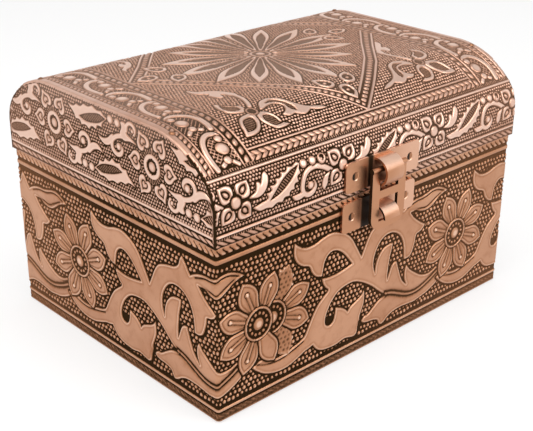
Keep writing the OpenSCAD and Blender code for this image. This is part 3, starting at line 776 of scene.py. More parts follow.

# black in the depths, copper where the rag reached, darker brown at the margins as painted shade,
# browner in patches, lightest on the rims as rubbed polish with a painted highlight, and with less
# black left on the crown of the lid and towards the right and the back, where it is held
tarnish_and_light, tones, tarnish_out = effect_group(
    "rubbed_tarnish_and_light",
    {"Copper": (0.6, 0.34, 0.24, 1), "Brown": (0.42, 0.2, 0.12, 1), "Black": (0.02, 0.011, 0.006, 1),
     "Worn": (0.1, 0.06, 0.045, 1), "Bright": (0.85, 0.6, 0.48, 1), "Reach Low": 0.3,
     "Reach High": 0.66, "Polish": 0.34},
    {"Color": "Color", "Roughness": "Float", "Metal": "Float", "Height": "Float"})
relief_mark = put(tarnish_and_light, "Attribute", attribute_name="relief").outputs["Fac"]
dye_place = put(tarnish_and_light, "TexCoord").outputs["Object"]
dye_x, dye_y, dye_z = put(tarnish_and_light, "SeparateXYZ", Vector=dye_place).outputs
patches = noise(tarnish_and_light, dye_place, 28.0, 4.0, 0.6)
spots = noise(tarnish_and_light, dye_place, 240.0, 3.0, 0.6)
grit = noise(tarnish_and_light, dye_place, 900.0, 3.0, 0.6)
# the ground, browned by hands and worn on the crown
held = combine(tarnish_and_light, "MAXIMUM", ramp(tarnish_and_light, dye_x, -0.02, 0.07, high=0.26),
               ramp(tarnish_and_light, dye_y, 0.0, 0.055, high=0.3))
crown = combine(tarnish_and_light, "MULTIPLY", ramp(tarnish_and_light, dye_z, 0.083, 0.094),
                ramp(tarnish_and_light, dye_y, -0.044, -0.018))
ground = blend(tarnish_and_light, crown, blend(tarnish_and_light, held, tones["Black"], tones["Brown"]), tones["Worn"])
# the copper, darker brown near a form's edge as painted shade, browner in patches and in specks,
# and lightest on the rims as rubbed polish with a painted highlight
edge_shade_and_patches = combine(tarnish_and_light, "ADD", ramp(tarnish_and_light, relief_mark, 0.6, 0.87, 0.8, 0.0),
                   ramp(tarnish_and_light, patches, 0.42, 0.7, high=0.6))
browned = combine(tarnish_and_light, "ADD", edge_shade_and_patches, ramp(tarnish_and_light, spots, 0.5, 0.75, high=0.45),
                  use_clamp=True)
rubbed = blend(tarnish_and_light, ramp(tarnish_and_light, relief_mark, 0.9, 1.0),
               blend(tarnish_and_light, browned, tones["Copper"], tones["Brown"]), tones["Bright"])
# the rag reached what stands high, along an uneven line
uneven_mark = combine(tarnish_and_light, "ADD", relief_mark, ramp(tarnish_and_light, grit, 0.3, 0.7, -0.07, 0.07))
reached = put(tarnish_and_light, "MapRange", interpolation_type="SMOOTHSTEP", Value=uneven_mark,
              From_Min=tones["Reach Low"], From_Max=tones["Reach High"]).outputs["Result"]
fill(tarnish_out["Color"], blend(tarnish_and_light, reached, ground, rubbed))
fill(tarnish_out["Roughness"], combine(
    tarnish_and_light, "ADD", ramp(tarnish_and_light, reached, 0.0, 1.0, 0.9, tones["Polish"]),
    ramp(tarnish_and_light, patches, 0.3, 0.7, -0.08, 0.1)))
fill(tarnish_out["Metal"], reached)
fill(tarnish_out["Height"], combine(tarnish_and_light, "MULTIPLY_ADD", spots, 2.5, grit))


def sheet_copper(name, grit_depth, **values):
    """The copper of an embossed sheet, blackened and rubbed, with painted shade at the edges of its
    forms and a painted highlight on its rims.
    """
    material, tree, surface = new_material(name)
    finish = place_effect(tree, tarnish_and_light, **values)
    give(surface, Base_Color=finish["Color"], Roughness=finish["Roughness"],
         Metallic=finish["Metal"], Normal=bumpy(tree, finish["Height"], 0.5, grit_depth),
         Specular_IOR_Level=0.05)
    return material


# its lightest colour is a painted highlight on the rims and bead tops, over the rag's polish
embossed_copper = sheet_copper(
    "embossed_copper", grit_depth=0.00007, Copper=(0.57, 0.3, 0.18, 1),
    Brown=(0.4, 0.18, 0.09, 1), Bright=(0.84, 0.57, 0.42, 1), Black=(0.024, 0.011, 0.003, 1),
    Worn=(0.04, 0.022, 0.013, 1), Reach_Low=0.3, Reach_High=0.66, Polish=0.38)
body_sheet = solid_grid("embossed_body_sheet", body_points, embossed_copper,
                        turn_row=len(under) + len(face) + 4, relief=body_marks)
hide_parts("body_sheet")
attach(body_sheet, "box")

# ---- Lid sheets ----
# One sheet of the same copper goes over the lid from front to back and is hemmed over the
# curved ends; under the hem, a second piece covers each end. Their dies are finer than the
# body's, and both were rubbed harder.
lid_low, lid_high = box_mm("lid_top_sheet")
lid_half_x, lid_half_y, lid_crown = lid_high
lid_bottom = lid_low[2]
side_h = 10.5
shoulder_r = 15.8
crown_r = 35.9
shoulder_len = shoulder_r * math.pi / 4
crown_len = crown_r * math.pi / 4
flat_y = lid_half_y - shoulder_r * (1 - math.cos(math.pi / 4)) - crown_r * math.cos(math.pi / 4)
half_section = side_h + shoulder_len + crown_len + flat_y
full_section = 2 * half_section


def lid_path(s, inset=0.0):
    """Place (y, z) and outward direction on the lid's section, s along it from the front's
    lower edge; the back mirrors the front."""
    back = s > half_section
    t = np.where(back, full_section - s, s)
    spring = lid_bottom + side_h
    turn_1 = np.clip((t - side_h) / shoulder_r, 0, math.pi / 4)
    turn_2 = np.clip((t - side_h - shoulder_len) / crown_r, 0, math.pi / 4)
    turn = turn_1 + turn_2
    centre_y = -lid_half_y + shoulder_r + (crown_r - shoulder_r) * math.cos(math.pi / 4)
    centre_z = spring - (crown_r - shoulder_r) * math.sin(math.pi / 4)
    radius = np.where(turn_2 > 0, crown_r, shoulder_r)
    cy = np.where(turn_2 > 0, centre_y, -lid_half_y + shoulder_r)
    cz = np.where(turn_2 > 0, centre_z, spring)
    y = cy - np.cos(turn) * (radius - inset)
    z = cz + np.sin(turn) * (radius - inset)
    z = np.where(t < side_h, lid_bottom + t, z)
    y = np.where(t > half_section - flat_y, -flat_y + t - (half_section - flat_y), y)
    normal_y = -np.cos(turn)
    return (np.where(back, -y, y), z, np.where(back, -normal_y, normal_y), np.sin(turn))


heart = drawn([(0, 3.9, 1), (1.1, 2.3), (2.7, 0.9), (3.3, -0.9), (2.5, -2.5), (1.1, -2.7),
               (0, -1.7, 1), (-1.1, -2.7), (-2.5, -2.5), (-3.3, -0.9), (-2.7, 0.9), (-1.1, 2.3)],
              step=0.3)
drop = drawn([(0, 3.0, 1), (1.3, 1.4), (1.6, -0.4), (0.9, -1.8), (-0.9, -1.8), (-1.6, -0.4),
              (-1.3, 1.4)], step=0.3)
square_petal = drawn([(1.75, 1.35), (0.75, 3.2), (0.75, 4.8), (1.9, 5.7), (5.9, 5.9, 1),
                      (6.1, 2.6), (5.4, 1.0), (3.4, 0.6)], step=0.3)
hooked_leaf = drawn([
    (5.2, -0.1, 1), (9, -0.7), (11.5, 0.2), (13.4, 2.3), (14.3, 4.8), (13.7, 6.6, 1), (12.4, 5.8),
    (11.3, 4.0), (10.6, 2.9, 1), (10.2, 3.9), (9.2, 3.9), (8.7, 2.3), (8, 1.2), (6.5, 0.6)],
    step=0.3)
toothed_leaf = drawn([
    (6.7, -3.7, 1), (10, -3.1), (13, -2.2), (12.4, -0.6, 1), (14.6, -0.2), (14.2, 1.4, 1),
    (16.8, 1.6), (16.8, 3.1, 1), (19.2, 3.1), (19.6, 4.6, 1), (21.8, 4.3), (22.8, 5.6, 1),
    (24.8, 5.2), (27, 6.1, 1), (28.2, 5.4, 1), (27.3, 3.8), (27.6, 2.2, 1), (26, 1.4),
    (26.3, -0.4, 1), (24.4, -0.7), (24.4, -2.4, 1), (22.4, -2.6), (22.2, -4.1, 1), (20, -4),
    (19, -5.3, 1), (16.8, -4.9), (14.6, -5.9, 1), (12.4, -5.4), (9.4, -5.4)], step=0.3)
leaf_slot = drawn([(14.0, -3.2, 1), (17.6, -2.2), (21.6, 0.1), (25, 2.8), (27, 4.8, 1),
                   (23.4, 3.8), (19.4, 1.7), (16.4, -0.8)], step=0.3)
front_curl = drawn([
    (41, -0.4, 1), (37.5, 1.7), (33.7, 2.7), (30, 1.6), (28.1, -1.3), (28.2, -4.4), (30, -6),
    (32.4, -5.8), (33.5, -4.0), (32.8, -2.4)], closed=False, step=0.3)
front_foot = drawn([(23.2, -4.8, 1), (25, -6.6), (28.4, -6.2), (28.6, -4.7), (26.4, -4.6)], step=0.3)
right_leaf = drawn([(40.6, -0.6, 1), (37.6, -1.9), (36.8, -4.6), (37.8, -6.6, 1), (39.2, -4.6),
                    (39.6, -2.4)], step=0.3)


def netted(sheet, line, pitch=1.3):
    """Sinks what a closed line holds and fills it with fine bars."""
    spots = sheet.near([line], 0.8)
    if len(spots):
        away, inside = distance_to(line, sheet.u[spots], sheet.v[spots], True)
        depth = np.where(inside, away, -away)
        bars = 0.33 + 0.33 * np.sin(2 * math.pi * (sheet.u[spots] + sheet.v[spots]) / pitch)
        share = smooth(depth / 0.5 + 0.5)
        dark = smooth(1 - np.abs(depth) / 0.35)
        sheet.h[spots] = (sheet.h[spots] * (1 - share) + bars * share) * (1 - 0.9 * dark)


def emboss_square_flower(sheet, at):
    """Four square petals round a boss, on the lid's front."""
    for turn in (0, 90, 180, 270):
        sheet.stamp([placed(square_petal, at, turn)], moat=0.5)
        middle = placed([(3.3, 3.3)], at, turn)[0]
        mark = placed(drop * 0.62, middle, turn - 45)
        sheet.stroke(mark, 0.8, -0.9, closed=True)
    sheet.disc(at, 2.75, top=0.0, flat=0.9, moat=0.0)
    sheet.disc(at, 2.0, top=0.95, flat=0.6, moat=0.0)


front_pitch = 46.8
front_row = 13.5
first_flower = -67.0
front_balls = [(29.7, 4.8), (33.7, 4.8), (37.8, 4.5), (31.6, -3.1)]
front_ball_r = [1.6, 1.6, 1.95, 1.45]


def emboss_front_band(sheet):
    """The band of flowers, toothed leaves and curls on the front and the back of the lid."""
    for k in range(-1, 4):
        at = (first_flower + front_pitch * k, front_row)
        for leaf in (hooked_leaf, toothed_leaf):
            sheet.stamp([placed(leaf, at)], moat=0.5)
        netted(sheet, placed(leaf_slot, at))
        sheet.stamp([placed(front_foot, at)], bands=[(placed(front_curl, at), 1.8)], moat=0.5)
        sheet.stamp([placed(right_leaf, at)], moat=0.4)
        for ball, radius in zip(placed(front_balls, at), front_ball_r):
            sheet.disc(ball, radius, moat=0.45)
        pit, seed = placed([(37.9, 4.8), (37.5, 4.4)], at)
        sheet.disc(pit, 0.95, top=0.0, moat=0.2)
        sheet.disc(seed, 0.6, top=0.9, moat=0.0)
        emboss_square_flower(sheet, at)


# a wavy stem with a berry in each bay, down the sides of the lid's top; x is across the band
bay_stem = drawn([(-4.2, -7.7), (-4.6, -4.5), (-4.3, -0.5), (-2.6, 3.4), (0.4, 5.6), (3.2, 5.2),
                  (3.9, 3.6), (2.9, 2.7)], closed=False, step=0.3)
bay_hook = drawn([(-1.4, -6.9), (0.6, -5.9), (2.6, -6.3), (4.2, -7.7)], closed=False, step=0.3)
bay_pitch = 15.6
first_bay = 32.6
net_pitch = 1.8


def emboss_side_band(sheet, side):
    """C shaped bays along a side of the lid's top, with berries on nets and bars by turns."""
    middle, half_width, begin = 65.0, 5.3, 25
    across = side * sheet.u - middle
    inside = (np.abs(across) < half_width) & (np.abs(sheet.v - half_section) < half_section - begin)
    spots = np.flatnonzero(inside)
    rise = across[spots] + sheet.v[spots]
    fall = across[spots] - sheet.v[spots]
    crossed = np.floor((sheet.v[spots] - 24.8) / bay_pitch) % 2 == 0
    weave = np.cos(math.pi * fall / net_pitch) ** 8 * crossed
    sheet.h[spots] = 0.9 * np.maximum(np.cos(math.pi * rise / net_pitch) ** 8, weave)
    for k in range(8):
        flip = (k % 2 == 1) != (side > 0)
        at = (side * middle, first_bay + bay_pitch * k)
        sheet.stamp([], bands=[(placed(bay_stem, at, flip=flip), 1.9),
                               (placed(bay_hook, at, flip=flip), 1.5)], moat=0.5)
        berries = placed([(2.0, -1.0), (1.2, -5.4), (3.2, 3.0)], at, flip=flip)
        for berry, radius, moat in zip(berries, (2.5, 1.5, 1.5), (0.5, 0.4, 0.4)):
            sheet.disc(berry, radius, moat=moat)


sprig_low_leaf = drawn([(-1.0, -1.3), (-3.5, -1.0), (-7, -2.0), (-9, -4.8), (-9.8, -7.8),
                        (-10.6, -10.2, 1), (-7, -10.2), (-4, -9.0), (-1.8, -6.3), (-0.9, -3.3)])
sprig_right_leaf = drawn([(0.5, -1.8), (3.5, -2.0), (5.5, -4.3), (6.2, -7.3), (6.3, -8.8),
                          (8.4, -10.1, 1), (5.5, -10.6), (2.5, -10.4), (0.5, -8.3), (-0.6, -5.3)])
sprig_left_leaf = drawn([(-1.5, 0.7), (-5.5, 1.0), (-8, 2.7), (-8.8, 5.7), (-8.5, 8.2),
                         (-7.2, 10.9, 1), (-5.8, 8.2), (-3.8, 6.2), (-1.5, 4.7), (-1.0, 2.2)])
sprig_stem = drawn([(0.8, 1.5), (2.6, 5), (4.2, 9.5), (4.3, 14), (2.4, 18.2), (-1.8, 21)],
                   closed=False)
sprig_plume = drawn([(-4.8, 28.2, 1), (-3.0, 24.5), (0.6, 22.6), (3.6, 19.6), (5.6, 15.2),
                     (4.9, 12.6), (3.2, 14.2), (1.6, 17.0), (0.2, 14.2), (-1.6, 15.4),
                     (-2.8, 18.6, 1), (-1.4, 20.2), (-4.2, 22.2), (-5.4, 25.0)])
sprig_curl = drawn([(3.2, -0.4, 1), (6, 3.4), (10, 4.5), (14, 2.7), (16.5, -1.3), (19.5, -4.8),
                    (25, -6.8), (27.5, -8.4, 1), (23.5, -8.0), (20.5, -6.8, 1), (17.5, -8.1),
                    (15.5, -7.9), (13.5, -6.6, 1), (10.5, -6.9), (8.6, -5.6, 1), (11.2, -4.2),
                    (12.3, -1.8), (11, 0.2), (7.5, 0.5), (4.2, -0.6)])
sprig_slot = drawn([(7.5, 2.0, 1), (11, 2.8), (14, 0.0), (15.3, -3.6), (15.0, -5.6, 1),
                    (13.6, -4.2), (13.0, -0.6), (11.2, 1.2)])


def emboss_sprig(sheet, at, flip, size=1.0, upside=False):
    """Four leaves round a boss, with a plume and a curl, in a corner of the lid's top."""
    def set_down(line):
        """A drawn line carried to its corner of the lid."""
        line = line * (1, -1) if upside else line
        return placed(line, at, 0, size, flip)
    for leaf in (sprig_low_leaf, sprig_right_leaf, sprig_left_leaf):
        line = set_down(leaf)
        sheet.stamp([line], moat=0.5)
        middle = line.mean(0)
        netted(sheet, middle + (line - middle) * 0.6)
    sheet.stamp([set_down(sprig_plume)], bands=[(set_down(sprig_stem), 1.6 * size)], moat=0.5)
    sheet.stamp([set_down(sprig_curl)], moat=0.5)
    netted(sheet, set_down(sprig_slot))
    sheet.disc(at, 2.3 * size, top=0.9, flat=0.6, moat=0.5)
    sheet.disc(at, 1.4 * size, top=0.3, flat=0.9, moat=0.3)


star_middle = (2.6, 87.2)
star_petal = drawn([(3, 0, 1), (9, -1.2), (17, -2.2), (25, -3.5), (31, -3.1), (40, 0, 1),
                    (31, 3.1), (25, 3.5), (17, 2.2), (9, 1.2)])
petal_slot = star_petal * (0.68, 0.5) + (5.2, 0)
star_petals = 16
rhomb_middle = (0.5, 90.5)
rhomb_side_x = [0, 14, 27.5, 42, 60]
rhomb_left_s = [28.6, 43.6, 60.2, 76.5, 94]
rhomb_right_s = [28.6, 40.0, 51.6, 66.5, 84]
panel_x = 55.0
panel_low = 28.6
fine_beads = {"pitch": 1.3, "row": 1.3}
# each drop's place and turn
top_drops = [((0.3, 39.6), 180), ((-4.6, 46.4), 28), ((6.4, 46.2), -32), ((-47, 90.5), 90),
             ((47, 90.5), -90), ((-38.5, 84.5), 140), ((38.5, 84.5), 220), ((-38.5, 97), 40),
             ((38.5, 97), -40), ((-16, 124), 20), ((17, 124), -20)]


def emboss_top(sheet):
    """The panel on top of the lid: a star in a rhombus, and a sprig in each corner."""
    u, v = sheet.u, sheet.v
    panel_high = full_section - panel_low
    panel = (np.abs(u) < panel_x) & (v > panel_low) & (v < panel_high)
    sheet.beads(panel_low, panel_high, radius=0.55, where=panel, **fine_beads)
    for flip in (False, True):
        emboss_sprig(sheet, (41.5 if flip else -41.5, 43.0), flip)
        emboss_sprig(sheet, (44.5 if flip else -44.5, 121.5), flip, 0.72, upside=True)
    # the rhombus: beads between lines run along its sides
    along_u = np.abs(u - rhomb_middle[0])
    side_s = np.where(u < rhomb_middle[0], np.interp(along_u, rhomb_side_x, rhomb_left_s),
                      np.interp(along_u, rhomb_side_x, rhomb_right_s))
    front_depth, back_depth = v - side_s, 2 * rhomb_middle[1] - v - side_s
    square_on = 0.68  # from a depth along v to one square on to the rhombus's side
    depth = np.minimum(front_depth, back_depth) * square_on
    run = along_u * 0.7 + np.where(front_depth < back_depth, 0.7, -0.7) * v
    inner = panel & (depth > -0.6)
    sheet.h[inner] = 0.0
    sheet.beads(panel_low, panel_high, radius=0.5, where=inner & (depth > 4.8), **fine_beads)
    for centre in (0.2, 4.2):
        sheet.ridge(depth, centre, width=0.8, where=inner, top=0.95)
    sheet.rope(run, depth, centre=2.2, width=1.9, pitch=2.3, slant=0.0, where=inner, cut=0.9)
    for k in range(star_petals):
        turn = 360 / star_petals * k - 88
        lean = abs(math.cos(2 * math.radians(turn)))
        size = 0.88 + 0.13 * lean
        sheet.stamp([placed(star_petal, star_middle, turn, size)], moat=0.6)
        sheet.stamp([placed(petal_slot, star_middle, turn, size)], top=0.3, moat=0.1)
    sheet.disc(star_middle, 4.4, top=0.9, flat=0.7, moat=0.7)
    sheet.disc(star_middle, 3.0, top=0.3, flat=0.9, moat=0.3)
    sheet.disc(star_middle, 1.9, top=0.95, flat=0.4, moat=0.3)
    for at, turn in top_drops:
        sheet.stamp([placed(drop, at, turn, 1.75)], moat=0.6)
        sheet.stamp([placed(drop, at, turn, 0.98)], top=0.1, moat=0.1)
        sheet.disc(at, 0.75, top=0.9, moat=0.2)


def lid_top_relief(x, s):
    """Relief of the lid's top sheet, x across it and s from the front's lower edge."""
    sheet = Embossing(x, s)
    v = sheet.v
    mirrored = np.minimum(v, full_section - v)
    band = Embossing(sheet.u, mirrored)
    band.beads(low=4.6, high=22.0, pitch=1.3, row=1.17, radius=0.53, wobble=0.05)
    emboss_front_band(band)
    for low, high, level in ((-1, 0.7, 0.3), (0.7, 4.9, 0.0), (21.4, 28.2, 0.0)):
        band.band(mirrored, low, high, level)
    band.rope(band.u, mirrored, centre=1.85, width=2.1, pitch=3.1, slant=1.2, cut=1.1)
    band.hatch(band.u, mirrored, low=2.9, high=3.6, pitch=0.975)
    band.ridge(mirrored, centre=4.15, width=0.9)
    band.ridge(mirrored, centre=22.3, width=0.95)
    band.hatch(band.u, mirrored, low=23.1, high=24.0, pitch=0.975)
    band.rope(band.u, mirrored, centre=25.0, width=1.8, pitch=2.7, slant=-0.8, cut=0.7)
    band.rope(band.u, mirrored, centre=26.8, width=1.9, pitch=2.7, slant=0.6, cut=0.5)
    sheet.h = band.h
    emboss_top(sheet)
    sides = np.abs(sheet.u)
    topside = mirrored > 24.5
    sheet.h[(sides > panel_x) & topside] = 0.0
    for side in (-1, 1):
        emboss_side_band(sheet, side)
    for centre in (55.3, 59.4, 71.1):
        sheet.ridge(sides, centre, width=0.65, top=0.9, where=topside)
    sheet.rope(v, sides, centre=57.3, width=1.9, pitch=3.4, slant=0.3, where=topside, cut=0.9)
    sheet.rope(v, sides, centre=72.4, width=1.8, pitch=2.2, slant=0.5, where=topside, cut=0.8)
    sheet.ridge(sides, centre=74.4, width=1.7, top=0.88, where=topside)
    sheet.ridge(mirrored, centre=panel_low, width=0.7, top=0.95, where=sides < panel_x)
    # the lower part of the fold down each corner was never rubbed
    rubbed_from = 33
    ragged_edge = 75.1 + 0.3 * np.sin(2.3 * v) * np.sin(0.9 * v)
    sheet.h[(sides > ragged_edge) & (mirrored < rubbed_from)] = 0.1
    sheet.h[(sides > 75.2) & (mirrored > rubbed_from)] = 0.85
    return sheet.heights()


hem_r = 0.6
hem_w = 1.3
ragged_from = 8.5  # the hem's cut edge is straight below this height, and wavers above it
ragged_over = 5.0
lid_depth = 0.55
reach_x = np.arange(-lid_half_x + hem_r, lid_half_x - hem_r + 0.1, 0.325)
hem_steps = np.linspace(0, 1, 9)[1:]
lid_u = np.concatenate([-(lid_half_x - hem_r) - hem_steps[::-1], reach_x,
                        lid_half_x - hem_r + hem_steps])
notch_x = [side * edge for side in (-1, 1) for edge in (hinge_near, hinge_far)]
lid_u = with_edges(lid_u, notch_x)
lid_rows = np.arange(0, 1.0001, 1 / 494)
lid_edge = 0.4  # how far the face stops short of the sheet's ends


def lid_shell(u, s, sink, inner):
    """Points of the lid's top sheet: u across it, with the hem past its ends, s along it, sink
    below its face. inner is 1 on its inner side."""
    y, z, ny, nz = lid_path(s)
    past = np.clip(np.abs(u) - (lid_half_x - hem_r), 0, None)
    climb = np.minimum(s, full_section - s)
    ragged = 0.16 * np.sin(1.9 * s) + 0.1 * np.sin(4.3 * s + 1)
    past = past * (hem_w + ragged * smooth((climb - ragged_from) / ragged_over))
    turn = np.clip(past / hem_r, 0, math.pi / 2)
    drop_in = hem_r * (1 - np.cos(turn)) + np.clip(past - hem_r * math.pi / 2, 0, None)
    x = np.minimum(np.abs(u), lid_half_x - hem_r) + hem_r * np.sin(turn)
    out_x, out_n = np.sin(turn), np.cos(turn)
    depth = sink + inner * (cover_t - 0.5 * np.clip(past, 0, 1))
    x = np.sign(u) * (x - out_x * depth)
    return np.stack([x, y - ny * (drop_in + out_n * depth), z - nz * (drop_in + out_n * depth)], -1)


lid_notched = in_notch(lid_u)
notch_top = pin_centre_z + notch_r - lid_bottom
back_end = np.where(lid_notched, full_section - notch_top, full_section)
s_grid = lid_edge + lid_rows[:, None] * (back_end[None, :] - 2 * lid_edge)
u_grid = np.broadcast_to(lid_u[None, :], s_grid.shape)
pattern_x = np.sign(u_grid) * np.minimum(np.abs(u_grid), lid_half_x)
lid_h = lid_top_relief(pattern_x, s_grid + 0.3)
shell = lid_shell(u_grid, s_grid, lid_depth * (1 - lid_h), 0.0)
inner_s = np.linspace(1, 0, 60)[:, None] * (back_end[None, :] - 1.4) + 0.7
inner_u = np.broadcast_to(lid_u[None, :], inner_s.shape)
inner_shell = lid_shell(inner_u, inner_s, 0.0, 1.0)


def lid_fold(side, level, reach):
    """A row of the fold under the front (-1) or the back (1) rail."""
    y = np.where(np.abs(lid_u) > lid_half_x - hem_r, lid_half_y - 0.6, lid_half_y - reach)
    x = np.clip(lid_u, -lid_half_x + 0.3, lid_half_x - 0.3)
    z = np.full(len(lid_u), level)
    if side > 0:
        y = np.where(lid_notched, lid_half_y - 0.5, y)
        z = np.where(lid_notched, level + notch_top, z)
    return np.stack([x, side * y, z], -1)[None]


lid_turn_in = 4.8  # of the fold under the lid
fold_begin = 0.45
lid_points = np.concatenate([
    lid_fold(-1, lid_bottom, lid_turn_in), lid_fold(-1, lid_bottom, fold_begin), shell,
    lid_fold(1, lid_bottom, fold_begin), lid_fold(1, lid_bottom, lid_turn_in),
    lid_fold(1, lid_bottom + fold_t, lid_turn_in), inner_shell,
    lid_fold(-1, lid_bottom + fold_t, lid_turn_in)])
# the cut edge of the hem is black
lid_marks = np.broadcast_to(np.where(np.abs(lid_u) > lid_half_x - 1.5, 0.1, fold_mark),
                            lid_points.shape[:2]).copy()
lid_marks[2:2 + len(lid_h)] = lid_h
# its lightest colour is a painted highlight on the rims and bead tops, over the rag's polish
lid_copper = sheet_copper(
    "embossed_lid_copper", grit_depth=0.00006, Copper=(0.71, 0.45, 0.345, 1),
    Brown=(0.5, 0.27, 0.18, 1), Bright=(0.85, 0.6, 0.485, 1), Black=(0.024, 0.012, 0.004, 1),
    Worn=(0.18, 0.115, 0.085, 1), Reach_Low=0.28, Reach_High=0.62, Polish=0.36)
lid_top_sheet = solid_grid("embossed_lid_sheet", lid_points, lid_copper,
                           turn_row=len(shell) + 4, relief=lid_marks)
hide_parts("lid_top_sheet")
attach(lid_top_sheet, "lid")

end_curl = drawn([(12.6, -6.0, 1), (17.0, -5.7), (20.6, -3.6), (21.1, -0.8), (19.2, 0.9),
                  (16.8, 0.6), (15.7, -1.2), (16.6, -2.4)], closed=False, step=0.3)
end_tail = drawn([(19.9, -3.6, 1), (22.4, -1.2), (25.2, -0.5), (27.4, -1.4), (29.4, -3.2, 1),
                  (26.4, -2.6), (23.6, -3.4), (20.6, -5.4)], step=0.3)
end_stem = drawn([(7.0, -4.9, 1), (11, -5.3), (14.5, -4.9), (16.4, -6.8), (15.4, -9.2),
                  (15.8, -10.8), (13.4, -11.0), (12.3, -9.4), (12.7, -7.6), (10.8, -6.7)], step=0.3)
end_hook = drawn([(12.9, -8.6), (12.4, -10.6), (10.4, -11.5), (8.4, -10.2), (8.8, -8.3)],
                 closed=False, step=0.3)
end_leaf = drawn([
    (23.3, -9.9, 1), (26.2, -7.4), (26.4, -6.0, 1), (29, -6.0), (30, -4.4, 1), (32.4, -4.9),
    (34, -3.4, 1), (36, -4.4), (38.4, -3.9, 1), (39.4, -5.3), (41.8, -5.3, 1), (42.6, -6.9),
    (46.6, -10, 1), (43, -9.5), (41, -10.6, 1), (38.6, -10.4), (36.6, -11.7, 1), (34, -11.4),
    (31.6, -12.3, 1), (29, -11.4), (26.6, -11.6, 1), (25, -10.4)], step=0.3)
end_slot = drawn([(24.6, -9.4, 1), (28, -7.4), (32.4, -6.3), (36, -6.0), (39.3, -6.8, 1),
                  (36, -8.2), (32.4, -9.3), (28, -10.1)], step=0.3)
end_balls = [(17.5, -1.9), (17.8, -9.9), (21.7, -10.1), (9.6, -9.2)]
end_ball_r = [1.4, 1.65, 1.65, 0.8]
end_pitch = 55.8
end_first = 28.4
end_row = 81.4


def emboss_end_leaves(sheet, at, turn):
    """A leaf with its stems and balls on one side of a heart flower."""
    leaf, slot, stem, tail, curl, hook, balls = (
        placed(line, at, turn)
        for line in (end_leaf, end_slot, end_stem, end_tail, end_curl, end_hook, end_balls))
    sheet.stamp([leaf], moat=0.45)
    netted(sheet, slot)
    sheet.stamp([stem, tail], bands=[(curl, 1.7), (hook, 1.4)], moat=0.45)
    for spot, radius in zip(balls, end_ball_r):
        sheet.disc(spot, radius, moat=0.35)


def emboss_heart_flower(sheet, at):
    """Six hearts round a rayed boss."""
    for turn in range(0, 360, 60):
        way = math.radians(turn)
        middle = (at[0] + 8.9 * math.cos(way), at[1] + 8.6 * math.sin(way))
        sheet.stamp([placed(heart, middle, turn - 90)], moat=0.45)
        sheet.stroke(placed(heart, middle, turn - 90, 0.45), 0.65, -0.8, closed=True)
    away = np.hypot(sheet.u - at[0], sheet.v - at[1])
    rays = (away > 3.9) & (away < 5.6)
    turned = np.arctan2(sheet.v - at[1], sheet.u - at[0])
    sheet.h[rays] = 0.35 + 0.35 * np.sin(30 * turned[rays])
    sheet.disc(at, 4.3, top=0.98, flat=0.9, moat=0.2)
    sheet.disc(at, 2.7, top=0.0, flat=0.9, moat=0.0)
    sheet.disc(at, 1.8, top=0.95, flat=0.4, moat=0.0)


def lid_end_relief(u, v):
    """Relief of a lid end: u runs towards the front and v is the height above the table."""
    sheet = Embossing(u, v)
    sheet.beads(low=67.2, high=99, pitch=1.3, row=1.15, radius=0.53, wobble=0.05)
    for k in (-2, -1, 0, 1):
        at = (end_first + end_pitch * k, end_row)
        emboss_end_leaves(sheet, at, 0)
        emboss_end_leaves(sheet, at, 180)
        emboss_heart_flower(sheet, at)
    sheet.band(sheet.v, 60, 67.5, 0.0)
    sheet.rope(sheet.u, sheet.v, centre=65.0, width=1.6, pitch=3.4, slant=0.9, cut=0.7)
    sheet.ridge(sheet.v, centre=66.9, width=1.0)
    return sheet.heights()


felt_room = 0.6  # how far the felt lifts the box off the table
end_face = lid_half_x - 0.25
end_back = lid_half_x - cover_t
end_depth = 0.42  # of the relief
end_half_y = lid_half_y - 1.05
end_low = lid_bottom + 0.4
end_y = np.linspace(-end_half_y, end_half_y, 359)
curve_s = np.linspace(0, full_section, 2001)
curve_y, curve_z, curve_ny, curve_nz = lid_path(curve_s)


def lid_curve(inset, y):
    """Heights of the lid's curve at y, inset from its outside."""
    inner_y, inner_z = curve_y - curve_ny * inset, curve_z - curve_nz * inset
    rising = np.concatenate([[True], np.diff(inner_y) > 1e-6])
    return np.interp(y, inner_y[rising], inner_z[rising])


end_tuck = 1.1  # of the top edge under the hem
end_top = lid_curve(end_tuck, end_y)
end_rows = np.linspace(0, 1, 99)
end_z = end_low + end_rows[:, None] * (end_top[None, :] - end_low)


def lid_end(side, name, node):
    """One lid end's sheet, with its fold under the end board."""
    y_grid = np.broadcast_to(end_y[None, :], end_z.shape)
    height = lid_end_relief(side * y_grid, end_z - felt_room)
    ones = np.ones(len(end_y))

    def row(x, z):
        """One row of points from the front to the back of the end."""
        return np.stack([side * x * ones, end_y, z * ones], -1)[None]

    front = np.stack([side * (end_face - end_depth * (1 - height)), y_grid, end_z], -1)
    points = np.concatenate([
        row(end_face - lid_turn_in, lid_bottom), row(end_face - 0.4, lid_bottom), front,
        row(end_back, end_top), row(end_back, lid_bottom + fold_t),
        row(end_face - lid_turn_in, lid_bottom + fold_t)])
    marks = np.full(points.shape[:2], fold_mark)
    marks[2:2 + len(height)] = height
    piece = solid_grid(name, points, lid_copper, turn_row=len(front) + 2, relief=marks)
    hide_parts(node)
    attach(piece, "lid")


lid_end(-1, "embossed_left_end", "lid_left_sheet")
lid_end(1, "embossed_right_end", "lid_right_sheet")

# ---- Velvet lining ----
# Red velvet over card lines the walls and the lid, and a thin padded board lies on the floor.
velvet = pile_material("red_velvet", pile=(0.3, 0.011, 0.03, 1), shadow=(0.17, 0.006, 0.017, 1),
                       patch_scale=70.0, fibre_scale=2600.0, sheen=0.6, depth=0.0003)
pad_low, pad_high = box_mm("floor_pad")
pad_size = pad_high - pad_low
floor_pad = slab("floor_cushion", pad_size[0], pad_size[1], pad_low[2], pad_size[2], velvet,
                 crown=0.5, round_r=1.3)
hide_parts("floor_pad")
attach(floor_pad, "box")


